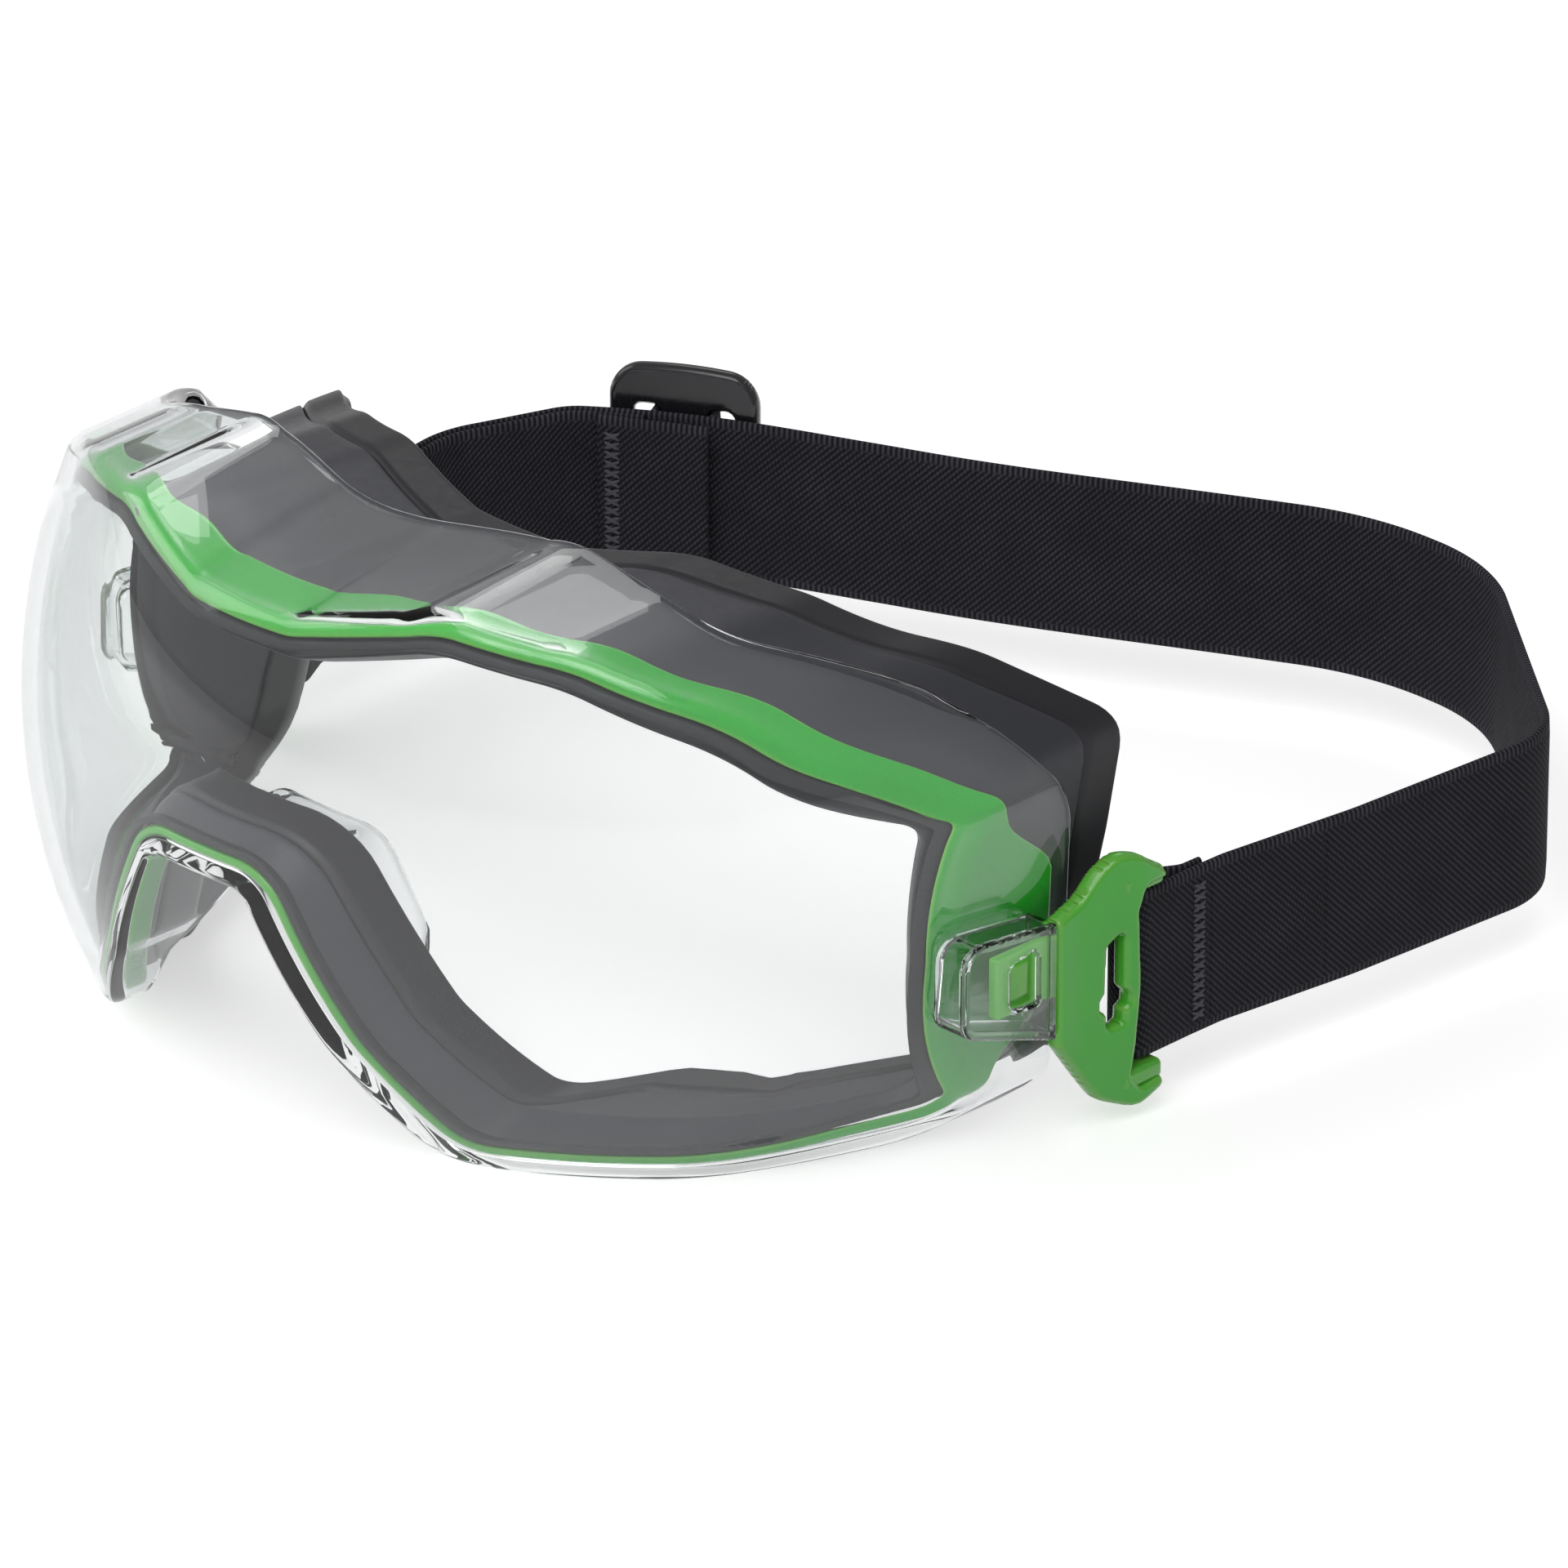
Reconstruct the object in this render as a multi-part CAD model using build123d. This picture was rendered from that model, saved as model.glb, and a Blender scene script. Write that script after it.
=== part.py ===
"""Safety goggles with a wrap-round clear lens, snap-in strap clips and an elastic head strap.

Millimetres. The working frame has its origin at the centre of the lens's sphere in plan and at the
floor in height: +X is the wearer's left, -Y is the way the goggles face, +Z is up. The finished
pieces are moved together so that the origin, kept on the goggles' own mid-plane, is at the middle
of the base of the whole object.
"""

from build123d import *
import math
import os

# ---------------------------------------------------------------- driving dimensions
# overall
HALF_WIDTH = 82.5             # mid-plane to the outside of the side rim
BROW_HEIGHT = 78.3            # top of the two brows above the floor

# lens
LENS_RADIUS = HALF_WIDTH + 5.5            # radius of the lens's outer sphere
LENS_MID_HEIGHT = 0.473 * BROW_HEIGHT     # height of the sphere's centre above the floor
LENS_WALL = 2.2
RIM_DEPTH = 26.0              # how far the rim turns back at the middle
RIM_BACK_RADIUS = 0.97 * HALF_WIDTH       # plan radius of the rim's rear edge
DIP_HEIGHT = BROW_HEIGHT - 5.3            # top edge at the middle, between the two brows
TEMPLE_TOP = 0.64 * BROW_HEIGHT
CHEEK_INNER = 0.4 * HALF_WIDTH            # mid-plane to the inner corner of the cheek
CHEEK_LEAN = 12.0             # how far the nose leg leans inwards up to the notch's flare
CHEEK_FLARE = 16.0            # height of the notch's flare
NOSE_HEIGHT = 0.473 * BROW_HEIGHT         # top of the nose notch
NOSE_HALF_WIDTH = 9.5         # half width of the notch's flat top
SIDE_BACK = -4.0              # rear end of the side rim, behind the sphere's centre
SIDE_ROUND = 14.0             # rounding of the side rim's rear top corner

# pieces nested inside the lens
FIT_GAP = 0.3                 # clearance between nested pieces
GASKET_THICK = 1.3
GASKET_WIDTH = 1.4
FRAME_WALL = 1.6
FRAME_DEPTH = 11.0            # depth of the coloured rail
SKIRT_WALL = 2.4
SKIRT_START = 6.0             # front plane of the skirt's own taper, behind the lens's front
FACE_RADIUS = HALF_WIDTH + 4.5            # plan radius of the wearer's forehead and temples
FACE_DEPTH = 57.0             # lens front to the face, at the middle
FACE_TILT = 16.0              # how far the face leans back towards the forehead, degrees
MUZZLE_RADIUS = 44.0          # plan radius of the wearer's nose and cheeks
MUZZLE_PROUD = 31.0           # how far they stand forward of the forehead
MUZZLE_TOP = 17.0             # top of the nose bridge above the lens's centre
FACE_TOP = BROW_HEIGHT - 8.3  # top of the skirt where it meets the face
FACE_SIDE = 7.0               # side of the skirt inside the side rim's outside
SEAL_WIDTH = 8.0              # front to back
SEAL_WALL = 4.0
SEAL_PROUD = 0.8              # how far the seal stands out from the skirt
SEAL_JOIN = 0.3               # joint between skirt and seal

# clip pocket on the lens and the clip that snaps into it
POCKET_HEIGHT = 24.8          # mid-height of the pocket's mouth
POCKET_FRONT = -29.0
POCKET_BACK = -11.0
POCKET_TALL = 17.4
POCKET_RISE = 2.0             # how far the pocket's top rises to the front
POCKET_TAPER = 6.0            # how far its underside rises to the front
POCKET_WALL = 1.2
WINDOW_BACK = 6.4             # pocket's mouth to the window's middle
WINDOW_LONG = 5.2
TONGUE_THICK = 1.8
TONGUE_TALL = 9.0
TONGUE_DEEP = 11.0
TONGUE_LIFT = 2.0             # tongue's middle above the mouth's middle
TONGUE_GAP = 0.3
TONGUE_ROOT = 0.5             # how far the tongue runs into the plate
LATCH_LONG = 3.5
CLIP_THICK = 3.0
CLIP_FRONT_TALL = 17.0
CLIP_BACK_TALL = 33.3
CLIP_BACK = 3.2               # rear edge of the clip's plate
CLIP_SEAT = 0.3               # between the pocket's mouth and the clip
CLIP_FLARE = 2.4              # how far the plate leans outwards to the rear
KEY_BACK = -0.8               # keyhole's middle, behind the sphere's centre
KEY_WIDE = 2.6
KEY_ROUND = 2.0               # radius of the keyhole's round middle
KEY_UP = 8.4                  # keyhole's top above the bar's middle
KEY_DOWN = 4.4                # keyhole's foot below the bar's middle
ARM_THICK = 3.0
ARM_EDGE = 0.5                # arm's material round the bar
ARM_LONG = 8.0
BAR_RADIUS = 1.7
BAR_BACK = 6.2                # strap bar's axis, behind the sphere's centre
BAR_OUT = 2.1                 # strap bar's axis, outside the lens's half width

# webbing and slider
STRAP_HEIGHT = 20.5           # mid-height of bars, webbing and slider
WEB_WIDTH = 25.0
WEB_THICK = 1.3
LAYER_GAP = 0.3
SLOT_GAP = 0.5                # webbing's edge to a slot's end
WEB_DRAW = 0.25               # how far the layers draw together behind the bar
LOOP_LENGTH = 12.0            # sewn loop, bar axis to stitching
LOOP_EASE = 3.5               # straight sewn stretch at the loop's end
FLEX_LENGTH = 20.0            # stretch that bends when the strap is tilted
FLEX_STRAIGHT = 3.0           # straight lead behind the sewn loop
FLEX_LEAN = 0.117             # outward lean of the strap behind it, per millimetre
LEAN_RUN = 6.0                # how far the lean runs past the flexing stretch
SIDE_LENGTH = 36.0            # left side, flexing stretch to the rear bend
STRAP_SPREAD = 4.4            # how far the left side runs out behind the clip
STRAP_REACH = 117.5           # sphere's centre to the rearmost webbing
BEND_LEAD = 8.1               # rear bend's corner past the left side
BEND_RADIUS = 15.0
BACK_RADIUS = 30.0
BACK_START = 38.0             # rear bend's second corner, in from the outer webbing
BACK_JOIN = 49.0              # end of the rear bend, in from the outer webbing
BACK_TURN = 61.0              # corner of the back's slant, in from the outer webbing
BACK_DROP = 32.4              # how far the slant comes forwards
BACK_SLANT = 125.2            # its end, in from the outer webbing
SLANT_RADIUS = 45.0
RIGHT_IN = 6.2                # right corner, in from the outer webbing
RIGHT_BACK = 22.8             # right corner, behind the flexing stretch
RIGHT_BEND = 8.0
STITCH_PROUD = 0.35
STITCH_LONG = 2.6
STITCH_WIDE = 0.6
STITCH_EDGE = 2.2
STITCH_COUNT = 14
STITCH_LEAN = 25.0
SLIDER_LONG = 22.5            # along the webbing
SLIDER_TALL = 37.0
SLIDER_THICK = 2.4
SLIDER_BAR = 3.6              # end bars
SLIDER_SLOT = 4.2
SLIDER_TRAVEL = 14.0          # how far the slider runs towards the back
SLIDER_ALONG = 17.0           # right-hand corner of the strap to the slider
TAIL_END = 5.0                # sewn end, past the slider's middle
TAIL_LENGTH = 16.5
INNER_SHORT = 4.5             # inner layer's end, short of the slider's middle


# ---------------------------------------------------------------- outlines and lofts
FRONT_PLANE = -(LENS_RADIUS + 4.0)
BACK_PLANE = 40.0
VAST = 3 * LENS_RADIUS        # larger than the whole body


def half_outline(rise):
    """Front-view points of the right half (x, z, corner radius); rise scales how far the roof lifts."""
    side = HALF_WIDTH
    return [
        (0.11 * side, DIP_HEIGHT + 0.18 * rise, 9.0),
        (0.35 * side, BROW_HEIGHT + 0.08 * rise, 22.0),
        (0.57 * side, BROW_HEIGHT - 2.3 + 0.05 * rise, 32.0),
        (0.80 * side, 0.62 * BROW_HEIGHT + 0.38 * TEMPLE_TOP + 0.05 * rise, 32.0),
        (side + 1.0, TEMPLE_TOP + 0.02 * rise, 6.0),
        (side, LENS_MID_HEIGHT - 7.0, 60.0),
        (side - 3.0, 4.0, 7.0),
        (0.73 * side, 0.0, 40.0),
        (CHEEK_INNER, 0.0, 10.0),
        (CHEEK_INNER - CHEEK_LEAN, CHEEK_FLARE, 24.0),
        (NOSE_HALF_WIDTH, NOSE_HEIGHT, 5.0),
    ]


def face_outline(cheek):
    """The same corners where the skirt meets the face, with the underside of the cheeks given."""
    side = HALF_WIDTH
    return [
        (0.11 * side, FACE_TOP - 0.5, 12.0),
        (0.32 * side, FACE_TOP + 1.0, 25.0),
        (0.51 * side, FACE_TOP - 2.5, 30.0),
        (0.73 * side, FACE_TOP - 9.0, 25.0),
        (side - FACE_SIDE, TEMPLE_TOP - 1.0, 10.0),
        (side - FACE_SIDE, LENS_MID_HEIGHT - 7.0, 60.0),
        (side - FACE_SIDE - 1.0, cheek + 1.0, 9.0),
        (0.68 * side, cheek, 30.0),
        (CHEEK_INNER + 4.0, cheek, 12.0),
        (CHEEK_INNER - 0.75 * CHEEK_LEAN, CHEEK_FLARE + 3.0, 20.0),
        (NOSE_HALF_WIDTH + 2.0, NOSE_HEIGHT + 5.0, 7.0),
    ]


def both_halves(half):
    """Mirror a half outline into a closed one, in order round the loop."""
    return half + [(-x, z, r) for x, z, r in reversed(half)]


def inset(points, distance):
    """Move every side of a closed outline inwards by a distance, and its corner radii with it."""
    moved = []
    count = len(points)
    for i in range(count):
        before, here, after = points[i - 1], points[i], points[(i + 1) % count]
        ax, az = here[0] - before[0], here[1] - before[1]
        bx, bz = after[0] - here[0], after[1] - here[1]
        la, lb = math.hypot(ax, az), math.hypot(bx, bz)
        # the outline runs clockwise, so the inside is on the right of each side
        nax, naz = az / la, -ax / la
        nbx, nbz = bz / lb, -bx / lb
        spread = 1.0 + nax * nbx + naz * nbz
        x = here[0] + distance * (nax + nbx) / spread
        z = here[1] + distance * (naz + nbz) / spread
        turns_right = ax * bz - az * bx < 0
        radius = here[2] - distance if turns_right else here[2] + distance
        moved.append((x, z, max(radius, 1.0)))
    return moved


def outline_face(points, y):
    """A flat face across the object at a given depth, with the outline's corners rounded."""
    wire = FilletPolyline(*[(x, y, z) for x, z, r in points], radius=[r for x, z, r in points], close=True)
    return Face(Wire(wire.edges()))


def loft_between(front, y_front, back, y_back):
    """Straight-sided solid between two outlines with the same corners."""
    return Solid.make_loft(
        [outline_face(front, y_front).outer_wire(), outline_face(back, y_back).outer_wire()], True
    )


def rim_body(distance):
    """The space inside the lens's rim, a distance in from its outside."""
    depth = BACK_PLANE - FRONT_PLANE
    front = inset(both_halves(half_outline(0.0)), distance)
    back = inset(both_halves(half_outline(depth)), distance)
    return loft_between(front, FRONT_PLANE, back, BACK_PLANE)


def skirt_body(distance):
    """The space inside the skirt, a distance in from its outside."""
    nest = LENS_WALL + FIT_GAP + FRAME_WALL + FIT_GAP
    front = inset(both_halves(half_outline(0.0)), nest + distance)
    back = inset(both_halves(face_outline(nest)), SEAL_PROUD + distance)
    return loft_between(front, FRONT_PLANE + SKIRT_START, back, BACK_PLANE)


def lip_body():
    """The outside of the face seal: the face outline carried straight forwards, down to the floor."""
    section = both_halves(face_outline(0.0))
    return loft_between(section, FRONT_PLANE + SKIRT_START, section, BACK_PLANE)


def ball(radius):
    """A sphere about the lens's centre."""
    return Pos(0, 0, LENS_MID_HEIGHT) * Sphere(radius)


def behind_ball(radius, depth):
    """Everything behind a sphere about the lens's centre moved straight back by a depth."""
    long = 2 * radius
    tail = Pos(0, depth + long / 2, LENS_MID_HEIGHT) * Rot(90, 0, 0) * Cylinder(radius, long)
    return Pos(0, depth, 0) * ball(radius) + tail


def upright(radius, front):
    """A tall upright cylinder whose frontmost line is at a given depth on the mid-plane."""
    return Pos(0, front + radius, LENS_MID_HEIGHT) * Cylinder(radius, 4 * LENS_RADIUS)


def against_face(front):
    """The wearer's face: a forehead that leans back, its front at a given depth, and nose and cheeks."""
    face = Rot(-FACE_TILT, 0, 0) * Cylinder(FACE_RADIUS, 4 * LENS_RADIUS)
    middle = front - MUZZLE_PROUD + MUZZLE_RADIUS
    muzzle = Pos(0, middle, LENS_MID_HEIGHT + MUZZLE_TOP - VAST / 2) * Cylinder(MUZZLE_RADIUS, VAST)
    return Pos(0, front + FACE_RADIUS, LENS_MID_HEIGHT) * face + muzzle


def prism(profile, x_from, x_to):
    """A side view (y, z, corner radius) carried across from one x to another."""
    corners = [(x_from, y, z) for y, z, r in profile]
    wire = FilletPolyline(*corners, radius=[r for y, z, r in profile], close=True)
    return Solid.extrude(Face(Wire(wire.edges())), Vector(x_to - x_from, 0, 0))


def behind_sides(back):
    """Everything behind the rim's side edge, which is upright and leans forwards at the temple."""
    lean = 0.7 * SIDE_ROUND
    profile = [
        (back, -VAST, 0.0),
        (back, TEMPLE_TOP - 1.0, SIDE_ROUND),
        (back - lean, TEMPLE_TOP - 1.0 + 1.3 * lean, 6.0),
        (back - lean, VAST, 0.0),
        (back + VAST, VAST, 0.0),
        (back + VAST, -VAST, 0.0),
    ]
    return prism(profile, -VAST, VAST)


# ---------------------------------------------------------------- lens, gasket, frame
def pocket_x():
    """Middle of the tongue's slot, out from the mid-plane."""
    return HALF_WIDTH + POCKET_WALL + TONGUE_GAP + TONGUE_THICK / 2


def tongue_height():
    return POCKET_HEIGHT + TONGUE_LIFT


def lens_pocket(side):
    """Moulded pocket on the side rim, open to the rear, with a window for the latch."""
    slot = TONGUE_THICK + 2 * TONGUE_GAP
    outer_x = pocket_x() + slot / 2 + POCKET_WALL
    low = POCKET_HEIGHT - POCKET_TALL / 2
    top = POCKET_HEIGHT + POCKET_TALL / 2
    profile = [
        (POCKET_BACK, low, 0.5),
        (POCKET_BACK, top, 0.5),
        (POCKET_FRONT, top + POCKET_RISE, 3.0),
        (POCKET_FRONT, low + POCKET_TAPER, 3.0),
    ]
    block = prism(profile, HALF_WIDTH - 0.7 * LENS_WALL, outer_x)
    deep = TONGUE_DEEP + TONGUE_GAP
    hollow = Pos(pocket_x(), POCKET_BACK + 1.0 - (deep + 1.0) / 2, tongue_height())
    hollow = hollow * Box(slot, deep + 1.0, TONGUE_TALL + 2 * TONGUE_GAP)
    window = Pos(outer_x, POCKET_BACK - WINDOW_BACK, tongue_height())
    window = window * Box(2 * POCKET_WALL + 1, WINDOW_LONG, TONGUE_TALL - 2.0)
    piece = block - hollow - window
    return piece if side > 0 else mirror(piece, about=Plane.YZ)


def lens():
    outer = rim_body(0.0) & ball(LENS_RADIUS)
    inner = rim_body(LENS_WALL) & ball(LENS_RADIUS - LENS_WALL)
    shell = outer - inner - upright(RIM_BACK_RADIUS, RIM_DEPTH - LENS_RADIUS) - behind_sides(SIDE_BACK)
    hollow = rim_body(LENS_WALL)
    for side in (1, -1):
        shell = shell + (lens_pocket(side) - hollow)
    return shell


def lens_gasket():
    front = ball(LENS_RADIUS - LENS_WALL - FIT_GAP) - ball(LENS_RADIUS - LENS_WALL - FIT_GAP - GASKET_THICK)
    edge = LENS_WALL + FIT_GAP + FRAME_WALL + FIT_GAP
    ring = rim_body(edge) - rim_body(edge + GASKET_WIDTH)
    return (ring & front) - behind_sides(SIDE_BACK)


def frame():
    """Rail round the inside of the lens's rim, with a full panel behind each clip pocket."""
    front = LENS_RADIUS - LENS_WALL - FIT_GAP
    edge = LENS_WALL + FIT_GAP
    ring = (rim_body(edge) - rim_body(edge + FRAME_WALL)) & ball(front)
    panel_inside = HALF_WIDTH - edge - FRAME_WALL - FIT_GAP
    between_panels = Pos(0, 0, LENS_MID_HEIGHT) * Box(2 * panel_inside, VAST, VAST)
    behind_rail = behind_ball(front, FRAME_DEPTH) & between_panels
    return ring - behind_rail - behind_sides(SIDE_BACK - 1.0)


# ---------------------------------------------------------------- skirt and seal
def face_front():
    """Depth of the seal's rear edge on the mid-plane."""
    return FACE_DEPTH - LENS_RADIUS


def face_skirt():
    front = LENS_RADIUS - LENS_WALL - GASKET_THICK - 2 * FIT_GAP
    tube = (skirt_body(0.0) - skirt_body(SKIRT_WALL)) & ball(front)
    return tube - against_face(face_front() - SEAL_WIDTH - SEAL_JOIN)


def face_seal():
    lip = (lip_body() - skirt_body(SEAL_WALL)) & against_face(face_front() - SEAL_WIDTH)
    return lip - against_face(face_front())


# ---------------------------------------------------------------- webbing
def plan_normals(points):
    """Left-hand unit normals of the runs of an open plan path."""
    normals = []
    for here, after in zip(points, points[1:]):
        dx, dy = after[0] - here[0], after[1] - here[1]
        run = math.hypot(dx, dy)
        normals.append((-dy / run, dx / run))
    return normals


def shifted(path, distance):
    """A plan path (x, y, corner radius) moved sideways to its left by a distance."""
    normals = plan_normals(path)
    moved = []
    for i, (x, y, radius) in enumerate(path):
        ax, ay = normals[max(i - 1, 0)]
        bx, by = normals[min(i, len(normals) - 1)]
        spread = 1.0 + ax * bx + ay * by
        turns_left = by * ax - bx * ay > 0
        new_radius = radius - distance if turns_left else radius + distance
        if radius == 0:
            new_radius = 0.0
        moved.append((x + distance * (ax + bx) / spread, y + distance * (ay + by) / spread, new_radius))
    return moved


def webbing(path, layer=0.0):
    """A flat band standing on edge along a plan path, layer millimetres to the path's left."""
    left = shifted(path, layer + WEB_THICK / 2)
    right = shifted(path, layer - WEB_THICK / 2)
    loop = left + right[::-1]
    low = STRAP_HEIGHT - WEB_WIDTH / 2
    wire = FilletPolyline(*[(x, y, low) for x, y, r in loop], radius=[r for x, y, r in loop], close=True)
    return Solid.extrude(Face(Wire(wire.edges())), Vector(0, 0, WEB_WIDTH))


def bar_x():
    """Strap bar's axis, out from the mid-plane."""
    return HALF_WIDTH + BAR_OUT


def web_x():
    """Middle of the outer layer of webbing behind a clip."""
    return bar_x() + BAR_RADIUS + LAYER_GAP + WEB_THICK / 2 - WEB_DRAW


def layer_step():
    return WEB_THICK + LAYER_GAP


def flex_end():
    """How far back the flexing stretch behind each clip reaches."""
    return BAR_BACK + LOOP_LENGTH + FLEX_LENGTH


def loop_path():
    """Plan path of the webbing round the left clip's bar, inner layer first."""
    turn = BAR_RADIUS + LAYER_GAP + WEB_THICK / 2
    end = BAR_BACK + LOOP_LENGTH
    ease = end - LOOP_EASE
    inner = web_x() - layer_step()
    return [
        (inner, end, 0),
        (inner, ease, 3.0),
        (bar_x() - turn, BAR_BACK + BAR_RADIUS + 0.8, 3.0),
        (bar_x() - turn, BAR_BACK - turn, 0.94 * turn),
        (bar_x() + turn, BAR_BACK - turn, 0.94 * turn),
        (web_x(), ease, 8.0),
        (web_x(), end, 0),
    ]


def flex_x():
    """Middle of the outer layer where the flexing stretch ends."""
    return web_x() + FLEX_LEAN * (FLEX_LENGTH - FLEX_STRAIGHT)


def lean_end():
    """The corner where the outward lean behind the flexing stretch eases off."""
    return flex_x() + FLEX_LEAN * LEAN_RUN, flex_end() + LEAN_RUN


def slider_run():
    """The straight stretch that the slider runs on: its two corners and its unit direction."""
    reach = STRAP_REACH - WEB_THICK / 2
    right_corner = (RIGHT_IN - web_x(), flex_end() + RIGHT_BACK)
    back_corner = (web_x() - BACK_SLANT, reach - BACK_DROP)
    dx, dy = back_corner[0] - right_corner[0], back_corner[1] - right_corner[1]
    run = math.hypot(dx, dy)
    return right_corner, back_corner, (dx / run, dy / run)


def on_run(distance):
    """A point of the slider's stretch, so far from the slider's rest place towards the back."""
    corner, _, way = slider_run()
    along = SLIDER_ALONG + distance
    return corner[0] + along * way[0], corner[1] + along * way[1]


def strap_paths():
    """Plan paths of the strap's stretches, from behind the left clip round to the right clip."""
    start = BAR_BACK + LOOP_LENGTH
    flex = flex_end()
    reach = STRAP_REACH - WEB_THICK / 2
    out = web_x()
    lean_x, lean_y = lean_end()
    side_end = (out + STRAP_SPREAD, flex + SIDE_LENGTH)
    lead = BEND_LEAD / (side_end[1] - lean_y)
    bend = (side_end[0] + lead * (side_end[0] - lean_x), side_end[1] + BEND_LEAD)
    right_corner, back_corner, _ = slider_run()
    split = on_run(SLIDER_LONG / 2 + SLIDER_TRAVEL)
    inner_end = on_run(-INNER_SHORT)
    right_end = [(*right_corner, RIGHT_BEND), (-lean_x, lean_y, 14.0), (-flex_x(), flex, 0)]
    lead_in = start + FLEX_STRAIGHT
    return {
        "left_flex": [(out, start, 0), (out, lead_in, 20.0), (flex_x(), flex, 0)],
        "left_side": [(flex_x(), flex, 0), (lean_x, lean_y, 60.0), (*side_end, 0)],
        "rear_bend": [(*side_end, 0), (*bend, BEND_RADIUS), (out - BACK_START, reach, BACK_RADIUS),
                      (out - BACK_JOIN, reach, 0)],
        "back": [(out - BACK_JOIN, reach, 0), (out - BACK_TURN, reach, SLANT_RADIUS),
                 (*back_corner, 120.0), (*split, 0)],
        "right_outer": [(*split, 0), *right_end],
        "right_inner": [(*inner_end, 0), *right_end],
        "right_flex": [(-flex_x(), flex, 0), (-out, lead_in, 20.0), (-out, start, 0)],
    }


def slider_place():
    """Where the slider sits: its own x runs along the webbing, its y points to the outside."""
    way = slider_run()[2]
    x, y = on_run(0.0)
    return Pos(x, y, STRAP_HEIGHT) * Rot(0, 0, math.degrees(math.atan2(way[1], way[0])))


def slider():
    out = WEB_THICK / 2 + LAYER_GAP + SLIDER_THICK / 2
    tall_slot = WEB_WIDTH + 2 * SLOT_GAP
    plate = Box(SLIDER_LONG, SLIDER_THICK, SLIDER_TALL)
    plate = fillet(plate.edges().filter_by(Axis.Y), 4.0)
    plate = fillet(plate.edges().group_by(Axis.Y)[0] + plate.edges().group_by(Axis.Y)[-1], 0.6)
    for side in (-1, 1):
        x = side * (SLIDER_LONG / 2 - SLIDER_BAR - SLIDER_SLOT / 2)
        slot = Box(SLIDER_SLOT, 2 * SLIDER_THICK, tall_slot)
        plate = plate - Pos(x, 0, 0) * fillet(slot.edges().filter_by(Axis.Y), 1.2)
    return slider_place() * Pos(0, out, 0) * plate


def slider_wrap():
    """The webbing's turn over the outside of the slider's centre bar, seen through its two slots."""
    half_bar = SLIDER_LONG / 2 - SLIDER_BAR - SLIDER_SLOT
    out = WEB_THICK / 2 + LAYER_GAP
    far = out + SLIDER_THICK + LAYER_GAP + WEB_THICK / 2
    reach = half_bar + LAYER_GAP + WEB_THICK / 2
    path = [(reach, out, 0), (reach, far, 1.0), (-reach, far, 1.0), (-reach, out, 0)]
    return slider_place() * Pos(0, 0, -STRAP_HEIGHT) * webbing(path)


def slider_tail():
    """The sewn end beside the slider, lying over the inner layer."""
    path = [(TAIL_END, -2 * layer_step(), 0), (TAIL_END - TAIL_LENGTH, -2 * layer_step(), 0)]
    return slider_place() * Pos(0, 0, -STRAP_HEIGHT) * webbing(path)


def bar_tack(place):
    """A row of leaning thread stitches, one above the other, lying on a sheet of webbing."""
    tall = WEB_WIDTH - 2 * STITCH_EDGE
    pitch = tall / STITCH_COUNT
    threads = []
    for i in range(STITCH_COUNT):
        z = (i + 0.5) * pitch - tall / 2
        thread = Box(STITCH_LONG, STITCH_PROUD, STITCH_WIDE)
        threads.append(place * Pos(0, 0, z) * Rot(0, STITCH_LEAN, 0) * thread)
    return Compound([solid for thread in threads for solid in thread.solids()])


def left_stitching():
    x = web_x() + WEB_THICK / 2 + STITCH_PROUD / 2
    y = BAR_BACK + LOOP_LENGTH - STITCH_EDGE
    return bar_tack(Pos(x, y, STRAP_HEIGHT) * Rot(0, 0, 90))


def slider_stitching():
    y = -2 * layer_step() - WEB_THICK / 2 - STITCH_PROUD / 2
    return bar_tack(slider_place() * Pos(TAIL_END - TAIL_LENGTH + STITCH_EDGE, y, 0))


# ---------------------------------------------------------------- clips
def plate_middle():
    """Middle of the clip's plate beside the pocket, out from the mid-plane."""
    return pocket_x() + TONGUE_THICK / 2 + POCKET_WALL - CLIP_THICK / 2


def clip_plate():
    """Bent plate: a side view, short at the pocket and tall at the rear, cut from a bent plan."""
    front = POCKET_BACK + CLIP_SEAT
    half_front, half_back = CLIP_FRONT_TALL / 2, CLIP_BACK_TALL / 2
    top, low = POCKET_HEIGHT + half_front, POCKET_HEIGHT - half_front
    rear_top, rear_low = STRAP_HEIGHT + half_back, STRAP_HEIGHT - half_back
    shoulder = CLIP_BACK - 5.5
    crest = CLIP_BACK - 2.0
    profile = [
        (front, top, 1.0), (front + 3.0, top, 3.0), (shoulder, rear_top - 2.0, 3.0),
        (crest, rear_top, 1.0), (CLIP_BACK, rear_top - 1.0, 0.8),
        (CLIP_BACK, rear_low + 1.0, 0.8), (crest, rear_low, 1.0),
        (shoulder, rear_low + 2.0, 3.0), (front + 2.5, low, 3.0), (front, low, 1.0),
    ]
    silhouette = prism(profile, HALF_WIDTH - 5.0, HALF_WIDTH + 25.0)
    middle = plate_middle()
    bend = [(middle, front - 1.0, 0), (middle, front + 4.0, 20.0), (middle + CLIP_FLARE, CLIP_BACK + 0.5, 0)]
    loop = shifted(bend, CLIP_THICK / 2) + shifted(bend, -CLIP_THICK / 2)[::-1]
    below = STRAP_HEIGHT - CLIP_BACK_TALL
    wire = FilletPolyline(*[(x, y, below) for x, y, r in loop], radius=[r for x, y, r in loop], close=True)
    return Solid.extrude(Face(Wire(wire.edges())), Vector(0, 0, 2 * CLIP_BACK_TALL)) & silhouette


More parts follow.
